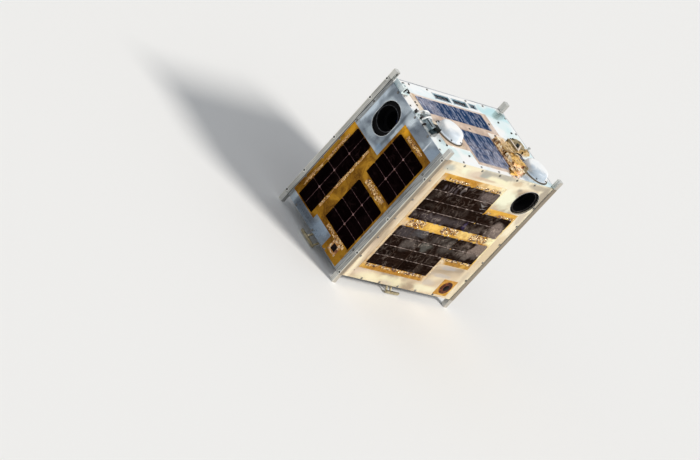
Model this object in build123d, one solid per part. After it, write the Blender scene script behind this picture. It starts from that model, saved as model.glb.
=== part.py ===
from build123d import *
import os

# Small box satellite, 50 kg class, with four square corner rails.
# Millimetres. The origin is the centre of the rail tips' plane, +Z runs along the rails.
# The star trackers look out of the front (-Y) and left (-X) faces near the top.

# Envelope, rails and panels
body_width = 550.0
body_depth = 350.0
rail_length = 550.0
rail_side = 17.0
rail_edge_chamfer = 0.8
rail_groove_depth = 1.0
rail_groove_width = 1.6
body_bottom = 32.0
body_top = 520.0
panel_recess = 2.5
panel_thickness = 5.0
panel_seam = 0.6
end_panel_thickness = 10.0
flange_reach = 27.0
flange_thickness = 8.0

# Film and solar cells
film_thickness = 0.5
cell_long = 68.9
cell_short = 38.5
cell_gap = 1.8
cell_thickness = 1.0
cell_crop = 4.0

half_width = body_width / 2
half_depth = body_depth / 2
face_x = half_width - panel_recess
face_y = half_depth - panel_recess
wall_x = face_x - panel_thickness
wall_y = face_y - panel_thickness
inner_x = half_width - rail_side
inner_y = half_depth - rail_side
deck_top = body_top - end_panel_thickness
deck_bottom = body_bottom + end_panel_thickness

# Outer planes of the six faces, each seen from outside: x to the right, y up
faces = {
    "front": Plane(origin=(0, -face_y, 0), x_dir=(1, 0, 0), z_dir=(0, -1, 0)),
    "rear": Plane(origin=(0, face_y, 0), x_dir=(-1, 0, 0), z_dir=(0, 1, 0)),
    "left": Plane(origin=(-face_x, 0, 0), x_dir=(0, -1, 0), z_dir=(-1, 0, 0)),
    "right": Plane(origin=(face_x, 0, 0), x_dir=(0, 1, 0), z_dir=(1, 0, 0)),
    "top": Plane(origin=(0, 0, body_top), x_dir=(1, 0, 0), z_dir=(0, 0, 1)),
    "bottom": Plane(origin=(0, 0, body_bottom), x_dir=(1, 0, 0), z_dir=(0, 0, -1)),
}

parts = {}


def box_between(low, high):
    """Box from its lowest to its highest corner."""
    size = [high[i] - low[i] for i in range(3)]
    middle = [(high[i] + low[i]) / 2 for i in range(3)]
    return Pos(*middle) * Box(*size)


def plate_on(face, outline, thickness, lift=0.0):
    """Plate of a drawn outline lying on a face, raised by lift."""
    return extrude(faces[face].offset(lift) * outline, thickness)


def rectangle_sketch(left, bottom, right, top):
    return Pos((left + right) / 2, (bottom + top) / 2) * Rectangle(right - left, top - bottom)


# Rails: a square bar at each corner with a two-legged flange behind the side panels
def corner_rail(side_x, side_y):
    bar = box_between(
        (min(side_x * half_width, side_x * inner_x), min(side_y * half_depth, side_y * inner_y), 0),
        (max(side_x * half_width, side_x * inner_x), max(side_y * half_depth, side_y * inner_y), rail_length),
    )
    bar = chamfer(bar.edges().filter_by(Axis.Z), rail_edge_chamfer)
    for groove_z in (body_bottom - rail_groove_width, body_top):
        ring_x = side_x * (half_width - rail_side / 2)
        ring_y = side_y * (half_depth - rail_side / 2)
        ring = Pos(ring_x, ring_y, groove_z + rail_groove_width / 2) * (
            Box(rail_side + 2, rail_side + 2, rail_groove_width)
            - Box(rail_side - 2 * rail_groove_depth, rail_side - 2 * rail_groove_depth, rail_groove_width)
        )
        bar -= ring
    far_x = side_x * (half_width - flange_reach)
    far_y = side_y * (half_depth - flange_reach)
    leg_along_x = box_between(
        (min(far_x, side_x * wall_x), min(side_y * wall_y, side_y * (wall_y - flange_thickness)), deck_bottom),
        (max(far_x, side_x * wall_x), max(side_y * wall_y, side_y * (wall_y - flange_thickness)), deck_top),
    )
    leg_along_y = box_between(
        (min(side_x * wall_x, side_x * (wall_x - flange_thickness)), min(far_y, side_y * wall_y), deck_bottom),
        (max(side_x * wall_x, side_x * (wall_x - flange_thickness)), max(far_y, side_y * wall_y), deck_top),
    )
    return bar + leg_along_x + leg_along_y


# name, side in x, side in y
rail_table = [
    ("rail_front_left", -1, -1),
    ("rail_front_right", 1, -1),
    ("rail_rear_left", -1, 1),
    ("rail_rear_right", 1, 1),
]
for name, side_x, side_y in rail_table:
    parts[name] = corner_rail(side_x, side_y)


# Side panels, with a window in two of them for the star trackers
window_left = dict(across=-77.0, up=438.0, width=84.0, height=116.0)
window_front = dict(across=195.5, up=444.5, width=102.0, height=92.0)
side_half_x = inner_x - panel_seam
side_half_y = inner_y - panel_seam


def window_sketch(window, grow=0.0):
    """Straight-sided window with round ends."""
    width = window["width"] + 2 * grow
    height = window["height"] + 2 * grow
    outline = SlotOverall(max(width, height), min(width, height), rotation=90 if height > width else 0)
    return Pos(window["across"], window["up"]) * outline


# name, face, half width of the panel, window
side_table = [
    ("panel_front", "front", side_half_x, window_front),
    ("panel_rear", "rear", side_half_x, None),
    ("panel_left", "left", side_half_y, window_left),
    ("panel_right", "right", side_half_y, None),
]
for name, face, half, window in side_table:
    outline = rectangle_sketch(-half, body_bottom, half, body_top)
    if window:
        outline -= window_sketch(window)
    parts[name] = plate_on(face, outline, -panel_thickness)


# End panels between the side panels, notched round the rails
def end_panel(bottom_z):
    plate = box_between((-wall_x, -wall_y, bottom_z), (wall_x, wall_y, bottom_z + end_panel_thickness))
    for side_x in (-1, 1):
        for side_y in (-1, 1):
            notch_x = side_x * (side_half_x + rail_side / 2)
            notch_y = side_y * (side_half_y + rail_side / 2)
            plate -= Pos(notch_x, notch_y, bottom_z) * Box(rail_side, rail_side, 4 * end_panel_thickness)
    return plate


# Test connector wells in the top panel: left, bottom, right, top edge in the top view
port_table = [
    (-85.0, 126.0, -7.0, 152.0),
    (5.0, 126.0, 78.0, 152.0),
    (90.0, 131.0, 124.0, 152.0),
]
port_depth = 6.0
top_panel = end_panel(deck_top)
for port in port_table:
    top_panel -= plate_on("top", rectangle_sketch(*port), -port_depth)
parts["panel_top"] = top_panel
parts["panel_bottom"] = end_panel(body_bottom)


# Test connectors: a flange in each well with a raised D-shaped shell round its contacts
port_clearance = 0.5
flange_height = 2.0
shell_height = 2.6
shell_wall = 1.2
shell_margin = 14.0
shell_width = 12.0
shell_slant = 80.0
tongue_height = 1.6
tongue_margin = 24.0
tongue_width = 4.5


def d_shell(length):
    """Thin-walled trapezoid, wider at its upper side."""
    inner_length = length - 3 * shell_wall
    inner_width = shell_width - 2 * shell_wall
    return Trapezoid(length, shell_width, shell_slant) - Trapezoid(inner_length, inner_width, shell_slant)


connectors = []
for left, bottom, right, top in port_table:
    flange = rectangle_sketch(
        left + port_clearance, bottom + port_clearance, right - port_clearance, top - port_clearance
    )
    width = right - left
    middle = Pos((left + right) / 2, (bottom + top) / 2)
    seat = flange_height - port_depth
    body = plate_on("top", flange, flange_height, -port_depth)
    body += plate_on("top", middle * d_shell(width - shell_margin), shell_height, seat)
    body += plate_on("top", middle * Rectangle(width - tongue_margin, tongue_width), tongue_height, seat)
    connectors.append(body)
parts["test_connectors"] = Compound(connectors)

# Inside mass: the stack of electronics and battery on the middle of the decks
stack_width = 220.0
stack_depth = 170.0
parts["equipment_stack"] = box_between(
    (-stack_width / 2, -stack_depth / 2, deck_bottom), (stack_width / 2, stack_depth / 2, deck_top)
)

# Star tracker baffles: a mounting plate behind the window and a tube stepped down towards the lens,
# where each step's plate reaches inwards as a light vane
baffle_wall = 2.5
mount_plate_thickness = 3.0
mount_plate_border = 9.0
vane_thickness = 1.2
# inner radius of the step, its depth behind the panel at its far end, inner radius of its vane
baffle_steps = [
    (39.0, 32.0, 28.0),
    (31.0, 66.0, 22.0),
]
baffle_mouth_radius = baffle_steps[0][0]
baffle_depth = baffle_steps[-1][1]
baffle_throat_radius = baffle_steps[-1][2]
lens_radius = baffle_throat_radius - 2.0
lens_rise = 2.0
lens_barrel = 34.0


def ring_outline(inner, outer, low, high):
    return Pos((inner + outer) / 2, (low + high) / 2) * Rectangle(outer - inner, high - low)


def tracker_baffle(face, window):
    clear_of_rails = half_width - flange_reach - panel_seam
    plate = window_sketch(window, mount_plate_border)
    plate &= rectangle_sketch(-clear_of_rails, deck_bottom, clear_of_rails, deck_top)
    plate -= Pos(window["across"], window["up"]) * Circle(baffle_mouth_radius)
    body = plate_on(face, plate, -mount_plate_thickness, -panel_thickness)
    axis = faces[face].offset(-panel_thickness) * Pos(window["across"], window["up"])
    near = 0.0
    for radius, depth, vane_radius in baffle_steps:
        far = vane_thickness - depth
        outline = ring_outline(radius, radius + baffle_wall, far, near)
        outline += ring_outline(vane_radius, radius + baffle_wall, -depth, far)
        body += axis * revolve(Plane.XZ * outline, Axis.Z)
        near = far
    return body


def tracker_lens(face, window):
    axis = faces[face].offset(-panel_thickness) * Pos(window["across"], window["up"])
    outline = ring_outline(0, baffle_throat_radius + baffle_wall, -baffle_depth - lens_barrel, -baffle_depth)
    outline += ring_outline(0, lens_radius, -baffle_depth, -baffle_depth + lens_rise)
    return axis * revolve(Plane.XZ * outline, Axis.Z)


for name, face, window in (("left", "left", window_left), ("front", "front", window_front)):
    parts["tracker_baffle_" + name] = tracker_baffle(face, window)
    parts["tracker_lens_" + name] = tracker_lens(face, window)

# Polyimide film: the outlines on each face, as points across and up, seen from outside
film_outlines = {
    "front": [
        [(-222, 75), (80, 75), (80, 155), (218, 155), (218, 393), (75, 393), (75, 476), (-222, 476)],
        [(164, 40), (228, 40), (228, 102), (164, 102)],
    ],
    "rear": [
        [(-222, 75), (194, 75), (194, 96), (222, 96), (222, 476), (-222, 476)],
    ],
    "left": [
        [
            (-155, 60), (-30, 60), (-30, 78), (60, 78), (60, 34), (144, 34),
            (144, 477), (-12, 477), (-12, 347), (-155, 347),
        ],
    ],
    "right": [
        [(-150, 75), (150, 75), (150, 476), (-150, 476)],
    ],
    "top": [
        [
            (-225, 28), (-203, 28), (-203, -95), (-90, -95), (-90, -150), (88, -150),
            (88, 28), (150, 28), (150, 118), (-225, 118),
        ],
    ],
    "bottom": [
        [(-160, -86), (160, -86), (160, 86), (-160, 86)],
    ],
}
for face, outlines in film_outlines.items():
    sheets = [plate_on(face, Polygon(*points, align=None), film_thickness) for points in outlines]
    parts["film_" + face] = Compound(sheets) if len(sheets) > 1 else sheets[0]


# Solar cells in rows on the film, each with two cropped corners
def cell_sketch(width, height):
    half_w = width / 2
    half_h = height / 2
    return Polygon(
        (-half_w, -half_h), (half_w, -half_h), (half_w, half_h - cell_crop),
        (half_w - cell_crop, half_h), (-half_w + cell_crop, half_h), (-half_w, half_h - cell_crop),
        align=None,
    )


# name, face, blocks of (left, bottom, columns, rows, cell width, cell height)
array_table = [
    ("cells_front_upper", "front", [
        (-211.2, 291.5, 4, 4, cell_long, cell_short), (71.6, 291.5, 2, 2, cell_long, cell_short)]),
    ("cells_front_lower", "front", [
        (-211.2, 98.5, 4, 4, cell_long, cell_short), (71.6, 179.1, 2, 2, cell_long, cell_short)]),
    ("cells_rear_upper", "rear", [(-211.2, 291.5, 6, 4, cell_long, cell_short)]),
    ("cells_rear_lower", "rear", [(-211.2, 98.5, 6, 4, cell_long, cell_short)]),
    ("cells_left_tall", "left", [(-128.5, 64.5, 2, 4, cell_short, cell_long)]),
    ("cells_left_upper", "left", [(-2.0, 290.5, 2, 4, cell_long, cell_short)]),
    ("cells_left_lower", "left", [(-2.0, 98.5, 2, 4, cell_long, cell_short)]),
    ("cells_right_upper", "right", [(-140.5, 291.5, 4, 4, cell_long, cell_short)]),
    ("cells_right_lower", "right", [(-140.5, 98.5, 4, 4, cell_long, cell_short)]),
    ("cells_top_long", "top", [(-200.0, 40.0, 8, 1, cell_short, cell_long)]),
    ("cells_top_short", "top", [(-80.0, -137.0, 4, 2, cell_short, cell_long)]),
    ("cells_bottom", "bottom", [(-140.5, -79.7, 4, 4, cell_long, cell_short)]),
]
for name, face, blocks in array_table:
    cells = []
    for left, bottom, columns, rows, width, height in blocks:
        shape = plate_on(face, cell_sketch(width, height), cell_thickness, film_thickness)
        for column in range(columns):
            for row in range(rows):
                across = left + width / 2 + column * (width + cell_gap)
                up = bottom + height / 2 + row * (height + cell_gap)
                place = faces[face].location * Pos(across, up, 0) * faces[face].location.inverse()
                cells.append(place * shape)
    parts[name] = Compound(cells)

# Sun sensors, a round one in front and square ones elsewhere: a flange, a raised head and a dark
# window let into it, with the head's top level with the rails' outer planes
sensor_flange_side = 38.0
sensor_head_side = 28.0
sensor_window_side = 21.0
sensor_flange_radius = 24.0
sensor_head_radius = 17.0
sensor_window_radius = 12.0
sensor_flange_height = 0.8
sensor_window_depth = 0.8
square_sensor = [Rectangle(side, side) for side in (sensor_flange_side, sensor_head_side, sensor_window_side)]
round_sensor = [Circle(radius) for radius in (sensor_flange_radius, sensor_head_radius, sensor_window_radius)]
# face, across, up, thickness under the sensor, outlines of flange, head and window
sensor_table = [
    ("left", 98.0, 67.0, film_thickness, square_sensor),
    ("front", 198.0, 71.0, film_thickness, round_sensor),
    ("rear", 222.0, 69.0, 0.0, square_sensor),
    ("right", 126.0, 52.0, 0.0, square_sensor),
]
for face, across, up, lift, outlines in sensor_table:
    flange, head, opening = [Pos(across, up) * outline for outline in outlines]
    body = plate_on(face, flange, sensor_flange_height, lift)
    body += plate_on(face, head, panel_recess - lift, lift)
    body -= plate_on(face, opening, sensor_window_depth, panel_recess - sensor_window_depth)
    parts["sun_sensor_" + face] = body

# White antenna domes: a flange with a ledge for its screws, an upright skirt and a sloped shoulder
dome_flange_radius = 48.0
dome_flange_height = 5.0
dome_radius = 42.0
dome_skirt_top = 15.0
dome_knee_radius = 38.5
dome_knee_height = 22.0
dome_crown_radius = 33.0
dome_height = 25.0


def antenna_dome(across, up, lift):
    profile = Polygon(
        (0, 0), (dome_flange_radius, 0), (dome_flange_radius, dome_flange_height),
        (dome_radius, dome_flange_height), (dome_radius, dome_skirt_top), (dome_knee_radius, dome_knee_height),
        (dome_crown_radius, dome_height), (0, dome_height),
        align=None,
    )
    return faces["top"] * Pos(across, up, lift) * revolve(Plane.XZ * profile, Axis.Z)


parts["antenna_dome_left"] = antenna_dome(-149.0, -37.0, film_thickness)
parts["antenna_dome_right"] = antenna_dome(208.0, -112.0, 0.0)

# Foil-wrapped units on the top panel: left, bottom, right, top edge and height
foil_long = [(90.0, -148.0, 122.0, -4.0, 19.0), (122.0, -116.0, 150.0, -70.0, 16.0)]
foil_chamfer = 3.0
foil_short = [(168.0, -34.0, 228.0, 18.0, 12.0)]
for name, boxes in (("foil_unit_long", foil_long), ("foil_unit_short", foil_short)):
    unit = None
    for left, bottom, right, top, height in boxes:
        block = plate_on("top", rectangle_sketch(left, bottom, right, top), height)
        crown = block.faces().sort_by(Axis.Z)[-1].edges()
        block = chamfer(crown, foil_chamfer)
        unit = block if unit is None else unit + block
    parts[name] = unit

# Cable connector beside the left edge: a housing with a round plug, held by a strap clamp
upright = (Align.CENTER, Align.CENTER, Align.MIN)
cable_x = -229.0
cable_height = 8.0
housing_width = 38.0
housing_height = 14.0
housing_front = -48.0
housing_rear = -16.0
plug_radius = 6.0
plug_length = 18.0
clamp_y = 12.0
clamp_width = 26.0
clamp_depth = 12.0
clamp_height = 17.0
clamp_foot_width = 46.0
clamp_foot_height = 3.0
housing = plate_on(
    "top",
    rectangle_sketch(cable_x - housing_width / 2, housing_front, cable_x + housing_width / 2, housing_rear),
    housing_height,
)
plug = faces["top"] * Pos(cable_x, housing_rear, cable_height) * Rot(-90, 0, 0) * Cylinder(
    plug_radius, plug_length, align=upright
)
parts["cable_connector"] = housing + plug
clamp_place = faces["top"] * Pos(cable_x, clamp_y, 0)
clamp = clamp_place * Box(clamp_width, clamp_depth, clamp_height, align=upright)
clamp += clamp_place * Box(clamp_foot_width, clamp_depth, clamp_foot_height, align=upright)
clamp -= clamp_place * Pos(0, 0, cable_height) * Rot(90, 0, 0) * Cylinder(plug_radius, 2 * clamp_depth)
parts["cable_clamp"] = clamp

# Corner bracket beside the rear left rail: a base with an upright web and a round boss
bracket_left = -266.0
bracket_right = -228.0
bracket_front = 104.0
bracket_rear = 150.0
bracket_plate = 3.0
web_thickness = 4.0
web_height = 16.0
boss_radius = 10.0
boss_hole_radius = 4.0
boss_height = 9.0
boss_inset = 22.0
bracket = plate_on("top", rectangle_sketch(bracket_left, bracket_front, bracket_right, bracket_rear), bracket_plate)
bracket += plate_on(
    "top", rectangle_sketch(bracket_left, bracket_front, bracket_left + web_thickness, bracket_rear), web_height
)
boss = Cylinder(boss_radius, boss_height, align=upright) - Cylinder(boss_hole_radius, boss_height, align=upright)
boss_y = (bracket_front + bracket_rear) / 2
bracket += faces["top"] * Pos(bracket_left + boss_inset, boss_y, bracket_plate) * boss
parts["corner_bracket"] = bracket

# Tie-down post near the right edge
post_radius = 3.0
post_height = 8.0
post_head_radius = 4.5
post_head_height = 3.0
post = Cylinder(post_radius, post_height, align=upright)
post += Pos(0, 0, post_height) * Cylinder(post_head_radius, post_head_height, align=upright)
parts["tie_down_post"] = faces["top"] * Pos(264, -6, 0) * post

# Patch antennas on the bottom panel, square with cropped corners
patch_side = 52.0
patch_height = 7.0
patch_crop = 8.0
patch_chamfer = 1.5
for name, across in (("left", -195.0), ("right", 195.0)):
    outline = Pos(across, 0) * chamfer(Rectangle(patch_side, patch_side).vertices(), patch_crop)
    patch = plate_on("bottom", outline, patch_height)
    crown = patch.faces().sort_by(Axis.Z)[0].edges()
    parts["patch_antenna_" + name] = chamfer(crown, patch_chamfer)

# Edge brackets under the middle of each side: a foot, two raked struts and a bar at the edge
bar_thickness = 5.0
bar_low = 4.0
bar_high = 12.0
bar_inset = 1.0
strut_side = 5.0
strut_overlap = 1.0
foot_width = 14.0
foot_thickness = 3.0
foot_offset = 30.0


def edge_bracket(bar_start, bar_end, strut_places):
    """Bracket in its own plane: bar along X at y = 0, foot further in at +Y."""
    body = box_between((bar_start, 0, bar_low), (bar_end, bar_thickness, bar_high))
    body += box_between(
        (strut_places[0] - foot_width, foot_offset, body_bottom - foot_thickness),
        (strut_places[1] + foot_width, foot_offset + foot_width, body_bottom),
    )
    strut_top = body_bottom - foot_thickness / 2
    strut_rear = foot_offset + foot_width / 2
    rake = Polygon(
        (0, bar_low + strut_overlap), (bar_thickness, bar_low + strut_overlap),
        (strut_rear, strut_top), (strut_rear - 2 * strut_side, strut_top),
        align=None,
    )
    for strut_x in strut_places:
        body += Pos(strut_x, 0, 0) * extrude(Plane.YZ * rake, strut_side / 2, both=True)
    return body


long_bar = (-34.0, 38.0, (-6.0, 32.0))
short_bar = (-27.0, 34.0, (-22.0, -3.0))
# name, turn about Z, distance of the bar's outer face from the centre, bar and struts
bracket_table = [
    ("edge_bracket_front", 0, half_depth, short_bar),
    ("edge_bracket_right", 90, half_width, long_bar),
    ("edge_bracket_rear", 180, half_depth, short_bar),
    ("edge_bracket_left", 270, half_width, long_bar),
]
for name, turn, distance, bar in bracket_table:
    parts[name] = Rot(0, 0, turn) * Pos(0, bar_inset - distance, 0) * edge_bracket(*bar)

os.makedirs("parts", exist_ok=True)
for name, shape in parts.items():
    export_step(shape, os.path.join("parts", name + ".step"))
print(len(parts), "parts")
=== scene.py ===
import math
import random
import bmesh
import bpy
from mathutils import Matrix, Vector, noise


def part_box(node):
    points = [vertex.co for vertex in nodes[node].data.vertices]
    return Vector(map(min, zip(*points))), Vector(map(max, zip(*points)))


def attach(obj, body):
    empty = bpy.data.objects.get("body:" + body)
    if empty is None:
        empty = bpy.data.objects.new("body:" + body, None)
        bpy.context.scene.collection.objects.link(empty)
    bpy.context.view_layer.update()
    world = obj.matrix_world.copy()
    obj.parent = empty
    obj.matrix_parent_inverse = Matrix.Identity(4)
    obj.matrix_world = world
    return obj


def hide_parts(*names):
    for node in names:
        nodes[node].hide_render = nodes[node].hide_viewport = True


# Small box satellite standing on its four rail tips. Metres; mm turns millimetres into metres.
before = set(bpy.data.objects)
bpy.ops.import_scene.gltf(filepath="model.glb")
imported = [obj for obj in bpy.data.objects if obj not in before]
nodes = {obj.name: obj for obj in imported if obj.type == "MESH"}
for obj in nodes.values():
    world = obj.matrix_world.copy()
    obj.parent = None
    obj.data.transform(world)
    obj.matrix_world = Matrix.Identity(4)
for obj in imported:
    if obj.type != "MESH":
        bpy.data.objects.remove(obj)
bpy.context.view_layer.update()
scene = bpy.context.scene
mm = 0.001
print("satellite: frame loaded with", len(nodes), "nodes")


# Camera at the photograph's viewing angle, rolled as the photograph is
photoView = {
    "location": (-8.44743, -5.76624, 4.24459),
    "forward": (0.7596155, 0.5268673, -0.3813071),
    "up": (-0.1545415, 0.7157211, 0.6810729),
    "lens": 189.11,
    "sensorWidth": 36.0,
    "clipEnd": 200.0,
}


def makeCamera(view):
    data = bpy.data.cameras.new("photoCamera")
    data.lens = view["lens"]
    data.sensor_width = view["sensorWidth"]
    data.clip_end = view["clipEnd"]
    camera = bpy.data.objects.new("photoCamera", data)
    scene.collection.objects.link(camera)
    forward = Vector(view["forward"]).normalized()
    up = Vector(view["up"]).normalized()
    right = forward.cross(up)
    turn = Matrix((right, up, -forward)).transposed().to_4x4()
    camera.matrix_world = Matrix.Translation(view["location"]) @ turn
    scene.camera = camera


makeCamera(photoView)
scene.view_settings.view_transform = "Standard"


# Node helpers: a dictionary value is a number, a colour or a socket to link from
def addNode(tree, kind, inputs=None, **settings):
    node = tree.nodes.new(kind)
    for key, value in settings.items():
        setattr(node, key, value)
    for key, value in (inputs or {}).items():
        if isinstance(value, bpy.types.NodeSocket):
            tree.links.new(value, node.inputs[key])
        else:
            node.inputs[key].default_value = value
    return node


def math1(tree, operation, first, second=0.0, clamp=False):
    node = addNode(tree, "ShaderNodeMath", {0: first, 1: second}, operation=operation, use_clamp=clamp)
    return node.outputs[0]


def spread(tree, value, low, high, toLow=0.0, toHigh=1.0):
    inputs = {"Value": value, "From Min": low, "From Max": high, "To Min": toLow, "To Max": toHigh}
    return addNode(tree, "ShaderNodeMapRange", inputs, interpolation_type="SMOOTHSTEP").outputs[0]


def blendColours(tree, factor, first, second):
    node = addNode(tree, "ShaderNodeMix", data_type="RGBA", blend_type="MIX", clamp_factor=True)
    for index, value in ((0, factor), (6, first), (7, second)):
        if isinstance(value, bpy.types.NodeSocket):
            tree.links.new(value, node.inputs[index])
        else:
            node.inputs[index].default_value = (*value, 1.0)
    return node.outputs[2]


def tint(tree, base, mask, strength, colour):
    # lays a colour over the base as far as mask times strength goes
    return blendColours(tree, math1(tree, "MULTIPLY", mask, strength), base, colour)


def colourRamp(tree, factor, stops):
    node = addNode(tree, "ShaderNodeValToRGB", {"Fac": factor})
    ramp = node.color_ramp
    while len(ramp.elements) < len(stops):
        ramp.elements.new(1.0)
    for element, (place, colour) in zip(ramp.elements, stops):
        element.position = place
        element.color = (*colour, 1.0)
    return node.outputs["Color"]


def newGroup(name, inputs, outputs):
    tree = bpy.data.node_groups.new(name, "ShaderNodeTree")
    for label, kind, value in inputs:
        socket = tree.interface.new_socket(label, in_out="INPUT", socket_type="NodeSocket" + kind)
        if value is not None:
            socket.default_value = value
    for label, kind in outputs:
        tree.interface.new_socket(label, in_out="OUTPUT", socket_type="NodeSocket" + kind)
    return tree, addNode(tree, "NodeGroupInput"), addNode(tree, "NodeGroupOutput")


def useGroup(tree, group, inputs):
    node = tree.nodes.new("ShaderNodeGroup")
    node.node_tree = group
    for key, value in inputs.items():
        if isinstance(value, bpy.types.NodeSocket):
            tree.links.new(value, node.inputs[key])
        else:
            node.inputs[key].default_value = value
    return node


def vectorMath(tree, operation, first, second=(0.0, 0.0, 0.0)):
    node = addNode(tree, "ShaderNodeVectorMath", {0: first, 1: second}, operation=operation)
    return node.outputs["Value" if operation in ("LENGTH", "DOT_PRODUCT") else "Vector"]


def noiseAt(tree, vector, scale, detail=3.0, rough=0.5, distortion=0.0):
    return addNode(tree, "ShaderNodeTexNoise", {
        "Vector": vector, "Scale": scale, "Detail": detail, "Roughness": rough,
        "Distortion": distortion}).outputs[0]


# Brushed metal: a broad cloud of tone, fine grain along the stretched axis, and scuffs in its height
def makeBrushedGroup():
    tree, given, made = newGroup(
        "brushedMetal",
        [("Vector", "Vector", None), ("Stretch", "Vector", (1, 1, 1)), ("Cloud Scale", "Float", 8.0),
         ("Grain Scale", "Float", 300.0)],
        [("Cloud", "Float"), ("Grain", "Float"), ("Height", "Float")],
    )
    scaled = vectorMath(tree, "MULTIPLY", given.outputs["Vector"], given.outputs["Stretch"])
    cloud = noiseAt(tree, scaled, given.outputs["Cloud Scale"], rough=0.55, distortion=1.4)
    grain = noiseAt(tree, scaled, given.outputs["Grain Scale"], detail=2.0, rough=0.6)
    scuff = noiseAt(tree, given.outputs["Vector"], 90.0, detail=5.0, rough=0.7)
    height = math1(tree, "ADD", math1(tree, "MULTIPLY", grain, 0.7), math1(tree, "MULTIPLY", scuff, 0.3))
    tree.links.new(cloud, made.inputs["Cloud"])
    tree.links.new(grain, made.inputs["Grain"])
    tree.links.new(height, made.inputs["Height"])
    return tree


# Creased film or foil: ridges where two warped noise fields cross their middle value, and facets between
def makeCreaseGroup():
    tree, given, made = newGroup(
        "creases",
        [("Vector", "Vector", None), ("Scale", "Float", 60.0), ("Warp", "Float", 0.6)],
        [("Height", "Float"), ("Ridge", "Float"), ("Facet", "Float")],
    )
    vector = given.outputs["Vector"]
    ridges = []
    for factor in (1.0, 2.3):
        scale = math1(tree, "MULTIPLY", given.outputs["Scale"], factor)
        field = noiseAt(tree, vector, scale, detail=2.0, distortion=given.outputs["Warp"])
        ridge = math1(tree, "ABSOLUTE", math1(tree, "SUBTRACT", field, 0.5))
        ridges.append(spread(tree, ridge, 0.0, 0.09, 1.0, 0.0))
    cells = addNode(tree, "ShaderNodeTexVoronoi", {"Vector": vector, "Scale": given.outputs["Scale"]})
    facet = addNode(tree, "ShaderNodeSeparateColor", {"Color": cells.outputs["Color"]}).outputs[0]
    ridge = math1(tree, "MAXIMUM", ridges[0], math1(tree, "MULTIPLY", ridges[1], 0.6))
    height = math1(tree, "ADD", ridge, math1(tree, "MULTIPLY", cells.outputs["Distance"], 0.8))
    tree.links.new(height, made.inputs["Height"])
    tree.links.new(ridge, made.inputs["Ridge"])
    tree.links.new(facet, made.inputs["Facet"])
    return tree


# Marks of handling: small soft specks and smudges
def makeSpeckGroup():
    tree, given, made = newGroup(
        "specks",
        [("Vector", "Vector", None), ("Scale", "Float", 120.0), ("Amount", "Float", 0.3)],
        [("Mask", "Float")],
    )
    fine = noiseAt(tree, given.outputs["Vector"], given.outputs["Scale"], detail=6.0, rough=0.7)
    broad = noiseAt(tree, given.outputs["Vector"], 14.0, detail=2.0)
    level = math1(tree, "SUBTRACT", 0.72, math1(tree, "MULTIPLY", given.outputs["Amount"], broad))
    mask = math1(tree, "MULTIPLY", math1(tree, "SUBTRACT", fine, level), 9.0, clamp=True)
    tree.links.new(mask, made.inputs["Mask"])
    return tree


# Lattice of solar cells: place in a cell, in metres from its lower left corner, and a number for each cell
def makeLatticeGroup():
    tree, given, made = newGroup(
        "cellLattice",
        [("Across", "Float", 0.0), ("Up", "Float", 0.0), ("Pitch Across", "Float", 0.07),
         ("Pitch Up", "Float", 0.04)],
        [("Cell Across", "Float"), ("Cell Up", "Float"), ("Cell Number", "Float")],
    )
    whole = []
    for name in ("Across", "Up"):
        pitch = given.outputs["Pitch " + name]
        steps = math1(tree, "DIVIDE", given.outputs[name], pitch)
        floor = math1(tree, "FLOOR", steps)
        inside = math1(tree, "MULTIPLY", math1(tree, "SUBTRACT", steps, floor), pitch)
        tree.links.new(inside, made.inputs["Cell " + name])
        whole.append(floor)
    pair = addNode(tree, "ShaderNodeCombineXYZ", {0: whole[0], 1: whole[1]}).outputs[0]
    chance = addNode(tree, "ShaderNodeTexWhiteNoise", {"Vector": pair}, noise_dimensions="2D")
    tree.links.new(chance.outputs["Value"], made.inputs["Cell Number"])
    return tree


brushedGroup = makeBrushedGroup()
creaseGroup = makeCreaseGroup()
speckGroup = makeSpeckGroup()
latticeGroup = makeLatticeGroup()


def newMaterial(name):
    material = bpy.data.materials.new(name)
    material.use_nodes = True
    tree = material.node_tree
    shader = tree.nodes["Principled BSDF"]
    place = addNode(tree, "ShaderNodeTexCoord").outputs["Object"]
    return material, tree, shader, place


def bumpOf(tree, height, strength, distance):
    inputs = {"Height": height, "Strength": strength, "Distance": distance}
    return addNode(tree, "ShaderNodeBump", inputs).outputs[0]


def setShader(tree, shader, values):
    for key, value in values.items():
        if isinstance(value, bpy.types.NodeSocket):
            tree.links.new(value, shader.inputs[key])
        elif isinstance(value, tuple) and len(value) == 3 and key != "Normal":
            shader.inputs[key].default_value = (*value, 1.0)
        else:
            shader.inputs[key].default_value = value


# Broad clouds on a panel: bands along its height near its side edges and along its width between them
bandClouds = {"upright": (1.0, 1.0, 0.22), "lying": (0.3, 0.3, 1.0), "blur": 20.0}


def makeBandGroup():
    tree, given, made = newGroup(
        "bandClouds",
        [("Vector", "Vector", None), ("Across", "Float", 0.0), ("Edge", "Float", 0.2),
         ("Scale", "Float", 9.0)],
        [("Cloud", "Float")],
    )
    clouds = {}
    for name in ("upright", "lying"):
        scaled = vectorMath(tree, "MULTIPLY", given.outputs["Vector"], bandClouds[name])
        clouds[name] = noiseAt(tree, scaled, given.outputs["Scale"], distortion=0.9)
    distance = math1(tree, "ABSOLUTE", given.outputs["Across"])
    low = math1(tree, "SUBTRACT", given.outputs["Edge"], bandClouds["blur"] * mm)
    atEdge = spread(tree, distance, low, given.outputs["Edge"])
    inputs = {0: atEdge, 2: clouds["lying"], 3: clouds["upright"]}
    cloud = addNode(tree, "ShaderNodeMix", inputs, data_type="FLOAT")
    tree.links.new(cloud.outputs[0], made.inputs["Cloud"])
    return tree


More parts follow.
